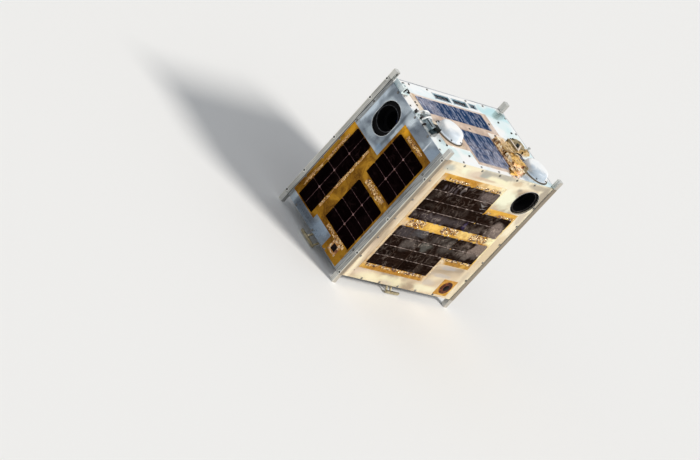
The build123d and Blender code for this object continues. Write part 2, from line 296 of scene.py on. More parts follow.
# Screw holes along the outer side face of each rail: a dark disc of painted shade in a pale ring of painted
# glint, blur and ring in radii
railHoles = {"heights": (39.0, 122.0, 264.0, 433.0, 512.0), "fromEdge": 4.4, "radius": 3.2, "blur": 1.25,
             "ring": (1.6, 2.0), "face": 274.5, "halfDepth": 175.0}


def makeHoleGroup():
    tree, given, made = newGroup(
        "railHoles", [("Vector", "Vector", None)], [("Mask", "Float"), ("Ring", "Float")])
    place = addNode(tree, "ShaderNodeSeparateXYZ", {"Vector": given.outputs["Vector"]}).outputs
    middle = (railHoles["halfDepth"] - railHoles["fromEdge"]) * mm
    aside = math1(tree, "SUBTRACT", middle, math1(tree, "ABSOLUTE", place[1]))
    nearest = 1.0
    for height in railHoles["heights"]:
        away = math1(tree, "ABSOLUTE", math1(tree, "SUBTRACT", place[2], height * mm))
        nearest = math1(tree, "MINIMUM", nearest, away)
    squares = [math1(tree, "MULTIPLY", side, side) for side in (nearest, aside)]
    distance = math1(tree, "SQRT", math1(tree, "ADD", *squares))
    outside = math1(tree, "GREATER_THAN", math1(tree, "ABSOLUTE", place[0]), railHoles["face"] * mm)
    radius = railHoles["radius"] * mm
    inner, outer = railHoles["ring"]
    disc = spread(tree, distance, radius, railHoles["blur"] * radius, 1.0, 0.0)
    ring = spread(tree, distance, inner * radius, outer * radius, 1.0, 0.0)
    tree.links.new(math1(tree, "MULTIPLY", disc, outside), made.inputs["Mask"])
    tree.links.new(math1(tree, "MULTIPLY", ring, outside), made.inputs["Ring"])
    return tree


# Fine bright and dark lines of painted highlight and shade along the rails, counted from the corner edge on
# either face of a rail
railLightLines = {"pitch": 4.3, "shift": 1.2, "sideFace": 174.6, "edge": (273.4, 173.4), "share": 0.6,
             "unrest": 260.0, "stretch": (1.0, 1.0, 0.05)}


def makeLineGroup():
    tree, given, made = newGroup(
        "railLightLines", [("Vector", "Vector", None)], [("Line", "Float"), ("Side", "Float"), ("Edge", "Float")])
    place = addNode(tree, "ShaderNodeSeparateXYZ", {"Vector": given.outputs["Vector"]}).outputs
    across = math1(tree, "ABSOLUTE", place[0])
    deep = math1(tree, "ABSOLUTE", place[1])
    onSide = math1(tree, "GREATER_THAN", deep, railLightLines["sideFace"] * mm)
    distance = addNode(tree, "ShaderNodeMix", {0: onSide, 2: deep, 3: across}, data_type="FLOAT").outputs[0]
    phase = math1(tree, "MULTIPLY", distance, math.tau / (railLightLines["pitch"] * mm))
    wave = math1(tree, "SINE", math1(tree, "ADD", phase, railLightLines["shift"]))
    stretched = vectorMath(tree, "MULTIPLY", given.outputs["Vector"], railLightLines["stretch"])
    unrest = spread(tree, noiseAt(tree, stretched, railLightLines["unrest"], rough=0.6), 0.3, 0.7, -1.0, 1.0)
    line = math1(tree, "ADD", *[math1(tree, "MULTIPLY", part, railLightLines["share"]) for part in (wave, unrest)])
    edgeAcross = math1(tree, "GREATER_THAN", across, railLightLines["edge"][0] * mm)
    edgeDeep = math1(tree, "GREATER_THAN", deep, railLightLines["edge"][1] * mm)
    tree.links.new(spread(tree, line, -0.9, 0.9), made.inputs["Line"])
    tree.links.new(onSide, made.inputs["Side"])
    tree.links.new(math1(tree, "MULTIPLY", edgeAcross, edgeDeep), made.inputs["Edge"])
    return tree


# Soft spot of painted light, shade, reflection and colour on a broad surface, whose edge wanders with a noise
softSpot = {"noise": 16.0, "wander": 2.4, "fade": (0.35, 1.15)}


def makeSpotGroup():
    tree, given, made = newGroup(
        "softSpot",
        [("Vector", "Vector", None), ("Centre", "Vector", None), ("Reach", "Vector", (1, 1, 1)),
         ("Edge", "Float", 0.5)],
        [("Mask", "Float")])
    away = vectorMath(tree, "SUBTRACT", given.outputs["Vector"], given.outputs["Centre"])
    part = vectorMath(tree, "LENGTH", vectorMath(tree, "DIVIDE", away, given.outputs["Reach"]))
    unrest = math1(tree, "SUBTRACT", given.outputs["Edge"], 0.5)
    part = math1(tree, "ADD", part, math1(tree, "MULTIPLY", unrest, softSpot["wander"]))
    tree.links.new(spread(tree, part, *softSpot["fade"], 1.0, 0.0), made.inputs["Mask"])
    return tree


bandGroup = makeBandGroup()
holeGroup = makeHoleGroup()
lineGroup = makeLineGroup()
spotGroup = makeSpotGroup()


def paintSpots(tree, place, base, spots):
    # spots are rows of centre, radius or reach along each axis, strength and colour
    edge = noiseAt(tree, place, softSpot["noise"], rough=0.55, distortion=0.6) if spots else None
    for centre, radius, strength, colour in spots:
        reach = radius if isinstance(radius, tuple) else (radius, radius, radius)
        spot = useGroup(tree, spotGroup, {
            "Vector": place, "Centre": [number * mm for number in centre],
            "Reach": [number * mm for number in reach], "Edge": edge})
        base = tint(tree, base, spot.outputs["Mask"], strength, colour)
    return base


# Bare and anodised metals. tones go from dark to light over the ramp's range of the cloud; stretch is small
# along the brushing; edge and axis say where the bands near a panel's side edges begin; spots are as above.
# On the front and left panels and the deck the tones, clouds and spots are painted light, shade and
# reflection
metalLooks = {
    # the rail's tone comes from the painted lines of highlight and shade; its spot lightens the rear left
    # rail
    "railMetal": {
        "tones": [(0.17, 0.172, 0.17), (0.31, 0.315, 0.305), (0.62, 0.62, 0.58)], "rail": True,
        "ramp": (0.15, 0.9), "stretch": (1.0, 1.0, 0.05), "cloud": 40.0, "grain": 800.0,
        "rough": (0.3, 0.46), "bump": 0.2,
        "spots": [((-272, 166, 276), (60, 40, 500), 0.35, (0.62, 0.61, 0.56))]},
    # the bare panel metal in warm painted light, with painted glare and shade in its spots
    "panelFront": {
        "tones": [(0.44, 0.34, 0.23), (0.76, 0.61, 0.42), (1.0, 0.9, 0.66)], "edge": 0.222, "axis": 0,
        "ramp": (0.4, 0.6), "stretch": (0.5, 1.0, 1.0), "cloud": 10.0, "grain": 180.0, "rough": (0.24, 0.27),
        "bump": 0.01, "grainTone": 0.02, "metal": 0.6, "specks": 0.03,
        "spots": [((118, -172, 436), (62, 50, 56), 0.95, (1.0, 1.0, 0.76)),
                  ((-200, -172, 60), (60, 50, 20), 0.6, (0.9, 0.74, 0.6)),
                  ((-150, -172, 46), (70, 50, 24), 0.6, (1.0, 0.93, 0.62)),
                  ((-20, -172, 50), (90, 50, 24), 0.7, (1.0, 0.95, 0.66)),
                  ((110, -172, 50), (60, 50, 16), 0.7, (1.0, 0.97, 0.72)),
                  ((236, -172, 235), (26, 50, 96), 0.85, (0.8, 0.64, 0.41)),
                  ((232, -172, 150), (30, 50, 40), 0.7, (0.84, 0.68, 0.46)),
                  ((-215, -172, 495), (34, 50, 17), 0.8, (0.5, 0.54, 0.5)),
                  ((-160, -172, 500), (34, 50, 18), 0.9, (1.0, 1.0, 0.74)),
                  ((-95, -172, 497), (44, 50, 20), 0.9, (0.78, 0.64, 0.5)),
                  ((-58, -172, 504), (26, 50, 16), 0.9, (0.42, 0.43, 0.38)),
                  ((20, -172, 494), (60, 50, 14), 0.9, (1.0, 0.95, 0.66)),
                  ((-40, -172, 488), (70, 50, 6), 0.8, (0.7, 0.52, 0.36)),
                  ((20, -172, 514), (110, 50, 12), 0.9, (0.5, 0.46, 0.38)),
                  ((105, -172, 502), (44, 50, 14), 0.85, (0.74, 0.58, 0.38)),
                  ((134, -172, 484), (24, 50, 14), 0.9, (0.34, 0.3, 0.24)),
                  ((180, -172, 508), (60, 50, 14), 0.9, (0.5, 0.44, 0.34)),
                  ((240, -172, 470), (24, 50, 60), 0.9, (0.42, 0.36, 0.28)),
                  ((236, -172, 380), (20, 50, 44), 0.8, (0.66, 0.56, 0.44)),
                  ((-240, -172, 330), (16, 50, 80), 0.5, (0.8, 0.66, 0.5)),
                  ((-246, -172, 150), (14, 50, 60), 0.5, (0.7, 0.55, 0.42)),
                  ((234, -172, 130), (14, 50, 30), 0.6, (0.66, 0.58, 0.44)),
                  ((150, -172, 144), (66, 50, 10), 0.8, (0.5, 0.46, 0.43)),
                  ((140, -172, 112), (60, 50, 8), 0.7, (0.55, 0.5, 0.46)),
                  ((112, -172, 76), (34, 50, 14), 0.7, (0.6, 0.53, 0.46)),
                  ((-60, -172, 40), (34, 50, 10), 0.5, (0.7, 0.58, 0.5))]},
    # the bare panel metal in blue-grey painted shade and reflection, with painted reflections and shade in
    # its spots
    "panelLeft": {
        "tones": [(0.12, 0.142, 0.175), (0.25, 0.295, 0.345), (0.54, 0.62, 0.68)], "edge": 0.13, "axis": 1,
        "ramp": (0.38, 0.64), "stretch": (1.0, 1.0, 0.35), "cloud": 14.0, "grain": 260.0,
        "rough": (0.24, 0.38), "bump": 0.1, "lined": 0.1445,
        "spots": [((-272, 144, 430), (50, 20, 96), 0.9, (0.6, 0.69, 0.78)),
                  ((-272, 124, 500), (50, 12, 26), 0.7, (0.14, 0.17, 0.2)),
                  ((-272, 90, 372), (50, 46, 18), 0.6, (0.46, 0.54, 0.6)),
                  ((-272, 28, 440), (50, 6, 90), 0.85, (0.1, 0.12, 0.14)),
                  ((-272, 60, 505), (50, 30, 14), 0.6, (0.36, 0.41, 0.46)),
                  ((-272, 0, 500), (50, 24, 30), 0.9, (0.66, 0.74, 0.8)),
                  ((-272, -66, 498), (50, 34, 26), 0.85, (0.18, 0.21, 0.25)),
                  ((-272, -97, 498), (50, 4, 34), 0.9, (0.66, 0.72, 0.78)),
                  ((-272, -126, 494), (50, 26, 30), 0.8, (0.27, 0.34, 0.43)),
                  ((-272, 22, 362), (50, 20, 14), 0.7, (0.22, 0.3, 0.4)),
                  ((-272, -10, 55), 36, 0.8, (0.3, 0.38, 0.48))]},
    "panelPlain": {
        "tones": [(0.32, 0.33, 0.35), (0.52, 0.53, 0.55), (0.78, 0.79, 0.79)], "edge": 0.13, "axis": 1,
        "stretch": (1.0, 1.0, 0.35), "cloud": 12.0, "grain": 260.0, "rough": (0.24, 0.4), "bump": 0.1},
    # mirror-like deck in white, cyan and peach painted reflections and shade; the four dark spots in a row
    # are the rear right rail's painted reflection
    "deckTop": {
        "tones": [(0.72, 0.9, 0.93), (0.98, 1.0, 1.0), (1.0, 0.98, 0.95)], "ramp": (0.38, 0.6),
        "stretch": (0.6, 1.0, 1.0), "cloud": 7.5, "grain": 180.0, "rough": (0.05, 0.13), "bump": 0.02,
        "grainTone": 0.08, "metal": 0.6,
        "spots": [((205, 136, 520), (85, 30, 50), 0.85, (0.45, 0.78, 0.83)),
                  ((252, 147, 520), 15, 0.85, (0.12, 0.19, 0.19)),
                  ((237, 137, 520), 15, 0.85, (0.12, 0.19, 0.19)),
                  ((222, 127, 520), 14, 0.85, (0.12, 0.19, 0.19)),
                  ((208, 117, 520), 13, 0.8, (0.12, 0.19, 0.19)),
                  ((205, 90, 520), (60, 60, 50), 0.5, (0.62, 0.86, 0.88)),
                  ((220, 0, 520), (60, 90, 50), 0.4, (0.75, 0.92, 0.9)),
                  ((-225, -120, 520), 70, 0.45, (0.5, 0.8, 0.8)),
                  ((-240, 70, 520), 60, 0.4, (1.0, 0.9, 0.78)),
                  ((60, -158, 520), 110, 0.4, (1.0, 0.86, 0.76)),
                  ((140, 18, 520), (66, 30, 50), 0.9, (0.94, 0.8, 0.66)),
                  ((-110, -112, 520), (60, 20, 50), 0.5, (0.55, 0.84, 0.84)),
                  ((138, -152, 520), (26, 16, 50), 0.7, (0.6, 0.68, 0.77))]},
    "bracketTan": {
        "tones": [(0.3, 0.25, 0.15), (0.46, 0.39, 0.25), (0.62, 0.55, 0.38)],
        "cloud": 60.0, "grain": 500.0, "rough": (0.34, 0.5), "bump": 0.2},
    "stackMetal": {
        "tones": [(0.28, 0.28, 0.3), (0.38, 0.38, 0.4), (0.46, 0.46, 0.48)],
        "cloud": 20.0, "grain": 200.0, "rough": (0.5, 0.65), "bump": 0.2},
    "clampMetal": {
        "tones": [(0.35, 0.37, 0.38), (0.6, 0.63, 0.64), (0.85, 0.88, 0.88)],
        "cloud": 90.0, "grain": 700.0, "rough": (0.2, 0.34), "bump": 0.15},
    "screwSteel": {
        "tones": [(0.1, 0.098, 0.095), (0.2, 0.197, 0.19), (0.42, 0.41, 0.39)],
        "cloud": 90.0, "grain": 900.0, "rough": (0.26, 0.4), "bump": 0.1},
    "washerAndShadeDark": {
        "tones": [(0.035, 0.032, 0.028), (0.08, 0.074, 0.066), (0.16, 0.15, 0.135)],
        "cloud": 90.0, "grain": 900.0, "rough": (0.4, 0.55), "bump": 0.1},
    "screwBlack": {
        "tones": [(0.012, 0.01, 0.01), (0.025, 0.02, 0.02), (0.06, 0.05, 0.05)],
        "cloud": 90.0, "grain": 900.0, "rough": (0.35, 0.5), "bump": 0.1},
    "ribbonFront": {
        "tones": [(0.16, 0.11, 0.09), (0.31, 0.24, 0.21), (0.62, 0.5, 0.44)],
        "cloud": 120.0, "grain": 900.0, "rough": (0.24, 0.4), "bump": 0.15},
    "rowWire": {
        "tones": [(0.03, 0.017, 0.012), (0.12, 0.08, 0.066), (0.4, 0.31, 0.27)],
        "cloud": 40.0, "grain": 900.0, "rough": (0.3, 0.45), "bump": 0.1},
    # the tinned ribbon darkened with painted shade for the left face, and the ribbon stars' pink painted
    # highlight, which also finishes the test connectors' pins
    "ribbonLeft": {
        "tones": [(0.016, 0.007, 0.007), (0.045, 0.022, 0.023), (0.16, 0.085, 0.085)],
        "cloud": 60.0, "grain": 900.0, "rough": (0.3, 0.45), "bump": 0.1},
    "starLeft": {
        "tones": [(0.12, 0.055, 0.055), (0.24, 0.13, 0.13), (0.45, 0.3, 0.3)],
        "cloud": 120.0, "grain": 900.0, "rough": (0.3, 0.45), "bump": 0.1},
    "rimBright": {
        "tones": [(0.5, 0.52, 0.52), (0.7, 0.72, 0.72), (0.86, 0.88, 0.88)],
        "cloud": 60.0, "grain": 700.0, "rough": (0.16, 0.3), "bump": 0.05},
    "ribGrey": {
        "tones": [(0.1, 0.13, 0.15), (0.28, 0.33, 0.36), (0.62, 0.67, 0.7)],
        "cloud": 120.0, "grain": 700.0, "rough": (0.3, 0.45), "bump": 0.1},
    "ringGrey": {
        "tones": [(0.02, 0.021, 0.024), (0.05, 0.052, 0.058), (0.12, 0.125, 0.14)],
        "cloud": 60.0, "grain": 700.0, "rough": (0.34, 0.5), "bump": 0.05},
    # bright blobs of painted glint on the tape; the second also finishes the patch antennas' feed pins
    "glintGold": {
        "tones": [(0.5, 0.2, 0.05), (0.9, 0.5, 0.18), (1.0, 0.84, 0.6)],
        "cloud": 200.0, "grain": 900.0, "rough": (0.2, 0.3), "bump": 0.1},
    "pinAndGlintBright": {
        "tones": [(0.5, 0.3, 0.16), (0.9, 0.68, 0.44), (1.0, 0.92, 0.76)],
        "cloud": 200.0, "grain": 900.0, "rough": (0.12, 0.24), "bump": 0.1},
}
metalLooks["panelRear"] = {**metalLooks["panelPlain"], "edge": 0.222, "axis": 0}
# Tints along the rails as strength and colour: painted warm light on the faces toward front and rear, a
# painted highlight on the corner edge, lighter tips, a painted glint round each hole and painted shade in it;
# where the tips begin, and the strips beside the rails
railTints = {"side": (0.7, (0.32, 0.24, 0.15)), "edge": (0.8, (0.86, 0.82, 0.7)),
             "tip": (0.45, (0.85, 0.84, 0.79)), "ring": (0.8, (0.95, 0.95, 0.9)),
             "hole": (1.0, (0.008, 0.007, 0.007))}
railTips = {"middle": 276.0, "away": 244.2}
stripLightTones = [(0.1, (0.09, 0.093, 0.095)), (0.5, (0.2, 0.205, 0.2)), (0.95, (0.45, 0.46, 0.45))]


def tintRail(tree, place, base, lines):
    height = addNode(tree, "ShaderNodeSeparateXYZ", {"Vector": place}).outputs[2]
    fromMiddle = math1(tree, "ABSOLUTE", math1(tree, "SUBTRACT", height, railTips["middle"] * mm))
    tip = math1(tree, "GREATER_THAN", fromMiddle, railTips["away"] * mm)
    holes = useGroup(tree, holeGroup, {"Vector": place}).outputs
    masks = {"side": lines["Side"], "edge": lines["Edge"], "tip": tip, "ring": holes["Ring"],
             "hole": holes["Mask"]}
    for name, mask in masks.items():
        base = tint(tree, base, mask, *railTints[name])
    return base


def metalMaterial(name, look):
    material, tree, shader, place = newMaterial(name)
    brushed = useGroup(tree, brushedGroup, {
        "Vector": place, "Stretch": look.get("stretch", (1.0, 1.0, 1.0)), "Cloud Scale": look["cloud"],
        "Grain Scale": look["grain"]})
    specks = useGroup(tree, speckGroup, {"Vector": place, "Scale": 240.0, "Amount": 0.25}).outputs["Mask"]
    cloud = brushed.outputs["Cloud"]
    if "edge" in look:
        across = addNode(tree, "ShaderNodeSeparateXYZ", {"Vector": place}).outputs[look["axis"]]
        cloud = useGroup(tree, bandGroup, {
            "Vector": place, "Across": across, "Edge": look["edge"], "Scale": look["cloud"]}).outputs["Cloud"]
    if "rail" in look or "lined" in look:
        lines = useGroup(tree, lineGroup, {"Vector": place}).outputs
    if "rail" in look:
        cloud = lines["Line"]
    dark, middle, light = look["tones"]
    low, high = look.get("ramp", (0.38, 0.62))
    base = colourRamp(tree, cloud, [(low, dark), ((low + high) / 2, middle), (high, light)])
    grainTone = spread(tree, brushed.outputs["Grain"], 0.3, 0.7, 0.0, look.get("grainTone", 0.25))
    base = blendColours(tree, grainTone, base, middle)
    base = tint(tree, base, specks, look.get("specks", 0.3), dark)
    base = paintSpots(tree, place, base, look.get("spots", ()))
    if "lined" in look:
        # the strips beside the rails get the rails' painted lines of highlight and shade
        beside = math1(tree, "GREATER_THAN", math1(tree, "ABSOLUTE", across), look["lined"])
        base = tint(tree, base, beside, 0.85, colourRamp(tree, lines["Line"], stripLightTones))
    if "rail" in look:
        base = tintRail(tree, place, base, lines)
    low, high = look["rough"]
    setShader(tree, shader, {
        "Base Color": base,
        "Metallic": look.get("metal", 0.85),
        "Roughness": spread(tree, brushed.outputs["Grain"], 0.25, 0.75, low, high),
        "Normal": bumpOf(tree, brushed.outputs["Height"], look["bump"], 0.0004),
    })
    return material


# Amber polyimide film over metal, with painted pale glints on its creases and small dark spots. The front,
# left and top
# looks are the one film in painted light: lit on the front, shaded on the left and a pale sheen on the top,
# and their spots are painted light, shade and reflection
filmLooks = {
    "filmFront": {
        "tones": [(0.36, 0.15, 0.01), (0.58, 0.28, 0.025), (0.88, 0.55, 0.12)], "crease": 60.0, "coat": 0.02,
        "spots": [((-130, -172, 467), (120, 50, 18), 0.95, (0.5, 0.215, 0.01)),
                  ((24, -172, 470), (76, 50, 22), 0.95, (0.94, 0.76, 0.44)),
                  ((66, -172, 466), (30, 50, 20), 0.95, (0.99, 0.92, 0.66)),
                  ((194, -172, 73), (44, 50, 44), 0.9, (0.56, 0.27, 0.05)),
                  ((-205, -172, 277), (18, 50, 18), 0.7, (0.8, 0.5, 0.14)),
                  ((-75, -172, 277), (46, 50, 18), 0.9, (0.96, 0.62, 0.13)),
                  ((70, -172, 277), (38, 50, 18), 0.9, (0.98, 0.7, 0.24)),
                  ((205, -172, 277), (30, 50, 20), 0.95, (1.0, 0.95, 0.6)),
                  ((150, -172, 388), (80, 50, 14), 0.7, (0.8, 0.43, 0.04)),
                  ((150, -172, 164), (110, 50, 20), 0.95, (0.32, 0.135, 0.006)),
                  ((-80, -172, 82), (230, 50, 24), 0.95, (0.37, 0.15, 0.006)),
                  ((-222, -172, 372), (30, 50, 140), 1.0, (0.74, 0.59, 0.41)),
                  ((-222, -172, 175), (30, 50, 130), 1.0, (0.74, 0.59, 0.41)),
                  ((80, -172, 428), (16, 50, 50), 0.95, (0.99, 0.92, 0.6)),
                  ((84, -172, 124), (26, 50, 60), 1.0, (0.78, 0.66, 0.48)),
                  ((222, -172, 330), (18, 50, 60), 0.95, (0.99, 0.92, 0.6)),
                  ((222, -172, 218), (18, 50, 52), 0.95, (0.99, 0.92, 0.6))]},
    "filmLeft": {
        "tones": [(0.115, 0.042, 0.001), (0.22, 0.092, 0.003), (0.5, 0.245, 0.018)], "crease": 60.0,
        "coat": 0.02,
        "spots": [((-272, -128, 60), 46, 0.7, (0.42, 0.21, 0.015)),
                  ((-272, 20, 345), (50, 30, 12), 0.7, (0.5, 0.27, 0.03)),
                  ((-272, 142, 325), (50, 18, 44), 0.9, (0.74, 0.36, 0.02)),
                  ((-272, 150, 230), (50, 9, 90), 0.7, (0.42, 0.22, 0.02)),
                  ((-272, -4, 466), (50, 28, 18), 0.95, (0.9, 0.43, 0.02)),
                  ((-272, -139, 400), (50, 8, 60), 0.5, (0.45, 0.24, 0.03))]},
    "filmTop": {
        "tones": [(0.4, 0.27, 0.19), (0.58, 0.42, 0.32), (0.82, 0.66, 0.54)], "crease": 45.0, "coat": 0.03,
        # the first spot is the painted shadow round the left dome's foot
        "spots": [((-151, -43, 521), (53, 53, 50), 0.85, (0.24, 0.17, 0.11)),
                  ((-214, 60, 520), 60, 0.85, (0.95, 0.82, 0.62)),
                  ((-120, 116, 520), 90, 0.7, (0.9, 0.82, 0.78)),
                  ((-204, 104, 520), (8, 16, 50), 0.7, (0.6, 0.36, 0.14)),
                  ((-150, -82, 520), (50, 14, 50), 0.7, (0.56, 0.42, 0.24)),
                  ((60, 116, 520), 80, 0.6, (0.82, 0.74, 0.7)),
                  ((-170, -80, 520), 60, 0.7, (0.86, 0.68, 0.5)),
                  ((0, -148, 520), 90, 0.6, (0.86, 0.76, 0.68)),
                  ((140, 60, 520), 40, 0.5, (0.85, 0.76, 0.7))]},
    "filmPlain": {
        "tones": [(0.2, 0.08, 0.008), (0.36, 0.17, 0.02), (0.6, 0.33, 0.07)], "crease": 55.0, "coat": 0.05},
}


def filmMaterial(name, look):
    material, tree, shader, place = newMaterial(name)
    creases = useGroup(tree, creaseGroup, {"Vector": place, "Scale": look["crease"], "Warp": 1.2})
    broad = noiseAt(tree, place, 16.0, detail=4.0, rough=0.6, distortion=0.8)
    specks = useGroup(tree, speckGroup, {"Vector": place, "Scale": 160.0, "Amount": 0.3}).outputs["Mask"]
    dark, middle, light = look["tones"]
    base = colourRamp(tree, broad, [(0.38, dark), (0.5, middle), (0.64, light)])
    base = paintSpots(tree, place, base, look.get("spots", ()))
    # painted glints on the crease ridges
    base = tint(tree, base, creases.outputs["Ridge"], 0.25, light)
    base = blendColours(tree, spread(tree, creases.outputs["Facet"], 0.6, 1.0, 0.0, 0.35), base, dark)
    base = tint(tree, base, specks, 0.5, dark)
    setShader(tree, shader, {
        "Base Color": base,
        "Metallic": 0.3,
        "Roughness": spread(tree, broad, 0.3, 0.7, 0.24, 0.4),
        "Specular IOR Level": 0.08,
        "Coat Weight": look["coat"],
        "Coat Roughness": 0.1,
        "Normal": bumpOf(tree, creases.outputs["Height"], 0.25, 0.0006),
    })
    return material


# Direction of across and up on each face, seen from outside
faceAxes = {
    "front": {"across": (1, 0, 0), "up": (0, 0, 1)},
    "rear": {"across": (-1, 0, 0), "up": (0, 0, 1)},
    "left": {"across": (0, -1, 0), "up": (0, 0, 1)},
    "right": {"across": (0, 1, 0), "up": (0, 0, 1)},
    "top": {"across": (1, 0, 0), "up": (0, 1, 0)},
    "bottom": {"across": (1, 0, 0), "up": (0, -1, 0)},
}


def facePlace(face):
    # matrix from (across, up, out) to the frame, out from the panel's outer face
    axes = faceAxes[face]
    across = Vector(axes["across"])
    up = Vector(axes["up"])
    out = across.cross(up)
    low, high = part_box("panel_" + face)
    origin = out * max(low.dot(out), high.dot(out))
    if abs(out.z) < 0.5:
        origin.z = 0.0
    turn = Matrix((across, up, out)).transposed().to_4x4()
    return Matrix.Translation(origin) @ turn


facePlaces = {face: facePlace(face) for face in faceAxes}


def onFace(face, across, up, out=0.0, turn=0.0):
    # place of a small shape on a face, in millimetres and degrees
    shift = Matrix.Translation((across * mm, up * mm, out * mm))
    return facePlaces[face] @ shift @ Matrix.Rotation(math.radians(turn), 4, "Z")


# Solar cells: glass over dark cells. haze and line say how much of the pale tone broad reflections and their
# crisp creases take, and patch is the range of the broad noise over which both come up. The front, left and
# top looks are copies of one glass in painted light and shade; on the top the pale bus colour of the bars and
# long cell edges is a painted glint
cellLooks = {
    "front": {
        "tones": [(0.003, 0.0012, 0.0006), (0.018, 0.0088, 0.006), (0.5, 0.41, 0.35)], "haze": 0.06,
        "line": 0.85, "lineFrom": (0.02, 0.08, 0.2, 1.0), "patch": (0.56, 0.7), "finger": 0.08,
        "bus": (0.13, 0.085, 0.07), "barFade": (0.0, 0.3),
        "spots": [((40, -172, 432), (50, 50, 30), 0.95, (0.17, 0.135, 0.125)),
                  ((42, -172, 398), (30, 50, 3.5), 0.9, (0.3, 0.28, 0.27)),
                  ((50, -172, 386), (20, 50, 3), 0.9, (0.32, 0.3, 0.3)),
                  ((24, -172, 412), (16, 50, 3), 0.8, (0.2, 0.18, 0.17)),
                  ((-176, -172, 430), (5, 50, 24), 0.6, (0.14, 0.12, 0.13)),
                  ((-164, -172, 432), (4, 50, 22), 0.5, (0.12, 0.1, 0.11)),
                  ((-142, -172, 428), (6, 50, 26), 0.65, (0.18, 0.155, 0.165)),
                  ((-128, -172, 430), (4, 50, 24), 0.55, (0.14, 0.12, 0.13)),
                  ((-112, -172, 434), (4, 50, 20), 0.5, (0.12, 0.1, 0.11)),
                  ((-92, -172, 432), (6, 50, 22), 0.6, (0.16, 0.14, 0.14)),
                  ((-60, -172, 438), (16, 50, 8), 0.7, (0.07, 0.06, 0.058)),
                  ((-110, -172, 310), (130, 50, 22), 0.95, (0.066, 0.054, 0.058)),
                  ((42, -172, 310), (12, 50, 16), 0.8, (0.045, 0.035, 0.11)),
                  ((182, -172, 318), (66, 50, 36), 1.0, (0.24, 0.19, 0.165)),
                  ((112, -172, 312), (56, 50, 26), 0.9, (0.1, 0.078, 0.066)),
                  ((-30, -172, 350), (44, 50, 12), 0.5, (0.04, 0.03, 0.027)),
                  ((-160, -172, 238), (64, 50, 28), 0.9, (0.06, 0.052, 0.055)),
                  ((-92, -172, 246), (44, 50, 16), 0.95, (0.085, 0.084, 0.09)),
                  ((-20, -172, 240), (60, 50, 24), 0.9, (0.07, 0.06, 0.054)),
                  ((-108, -172, 200), (48, 50, 26), 0.9, (0.1, 0.085, 0.078)),
                  ((-35, -172, 202), (44, 50, 20), 0.9, (0.1, 0.1, 0.09)),
                  ((44, -172, 220), (40, 50, 44), 0.9, (0.085, 0.074, 0.066)),
                  ((178, -172, 240), (64, 50, 32), 1.0, (0.25, 0.195, 0.165)),
                  ((140, -172, 205), (44, 50, 18), 0.85, (0.15, 0.125, 0.11)),
                  ((192, -172, 206), (22, 50, 12), 0.6, (0.12, 0.1, 0.09))]},
    "left": {
        "tones": [(0.0012, 0.0004, 0.0004), (0.0035, 0.0012, 0.0015), (0.04, 0.022, 0.022)], "haze": 0.12,
        "line": 0.4, "patch": (0.56, 0.74), "finger": 0.15, "bus": (0.016, 0.008, 0.008),
        "barFade": (0.0, 0.6)},
    "top": {
        "tones": [(0.009, 0.032, 0.09), (0.022, 0.06, 0.16), (0.74, 0.7, 0.77)], "haze": 0.5, "line": 0.25,
        "patch": (0.64, 0.8), "finger": 0.0, "bus": (0.66, 0.73, 0.95), "barWidth": 2.5,
        "barFade": (0.03, 0.9), "barNoise": 75.0, "barStretch": (1.0, 0.6, 1.0), "rim": 3.0},
    "plain": {
        "tones": [(0.004, 0.0035, 0.007), (0.012, 0.01, 0.018), (0.16, 0.14, 0.16)], "haze": 0.15,
        "line": 0.5, "patch": (0.54, 0.7), "specular": 0.05, "finger": 0.2, "bus": (0.06, 0.055, 0.06),
        "barFade": (0.1, 0.7)},
}
# where an array catches more light: direction, start and end of the rise in metres, amount
cellGlow = {
    "cells_top_long": ("across", -0.08, -0.14, 1.0),
    "cells_top_short": ("up", -0.02, -0.07, 1.0),
}
cellSize = {"long": 68.9 * mm, "short": 38.5 * mm, "gap": 1.8 * mm}
busLines = {"count": 3, "fingerPitch": 1.6 * mm, "fingerWidth": 0.22 * mm}
cellCreases = {"scale": 34.0, "warp": 1.4, "wave": (0.04, 0.0, 0.04)}


def cellLattice(tree, place, node, face):
    # place across and up on the face, and the lattice of the node's cells
    low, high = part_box(node)
    onAxis = {}
    along = {}
    for name, axis in faceAxes[face].items():
        onAxis[name] = vectorMath(tree, "DOT_PRODUCT", place, axis)
        corner = min(low.dot(Vector(axis)), high.dot(Vector(axis)))
        along[name] = math1(tree, "SUBTRACT", onAxis[name], corner)
    tall = face == "top" or node == "cells_left_tall"
    sides = (cellSize["short"], cellSize["long"]) if tall else (cellSize["long"], cellSize["short"])
    lattice = useGroup(tree, latticeGroup, {
        "Across": along["across"], "Up": along["up"],
        "Pitch Across": sides[0] + cellSize["gap"], "Pitch Up": sides[1] + cellSize["gap"]}).outputs
    names = ("Cell Across", "Cell Up") if tall else ("Cell Up", "Cell Across")
    return onAxis, lattice[names[0]], lattice[names[1]], lattice["Cell Number"]


def cellBars(tree, place, look, shortWay, longWay):
    # masks of the collector bars along the cell, broken by a noise, and of the fine fingers across it
    pitch = cellSize["short"] / busLines["count"]
    fromBar = math1(tree, "SUBTRACT", math1(tree, "MODULO", shortWay, pitch), pitch / 2)
    width = look.get("barWidth", 0.8) * mm
    bars = math1(tree, "LESS_THAN", math1(tree, "ABSOLUTE", fromBar), width / 2)
    stretched = vectorMath(tree, "MULTIPLY", place, look.get("barStretch", (1.0, 1.0, 1.0)))
    unrest = noiseAt(tree, stretched, look.get("barNoise", 38.0), rough=0.6)
    bars = math1(tree, "MULTIPLY", bars, spread(tree, unrest, 0.44, 0.62, *look["barFade"]))
    fingerStep = math1(tree, "MODULO", longWay, busLines["fingerPitch"])
    return bars, math1(tree, "LESS_THAN", fingerStep, busLines["fingerWidth"])


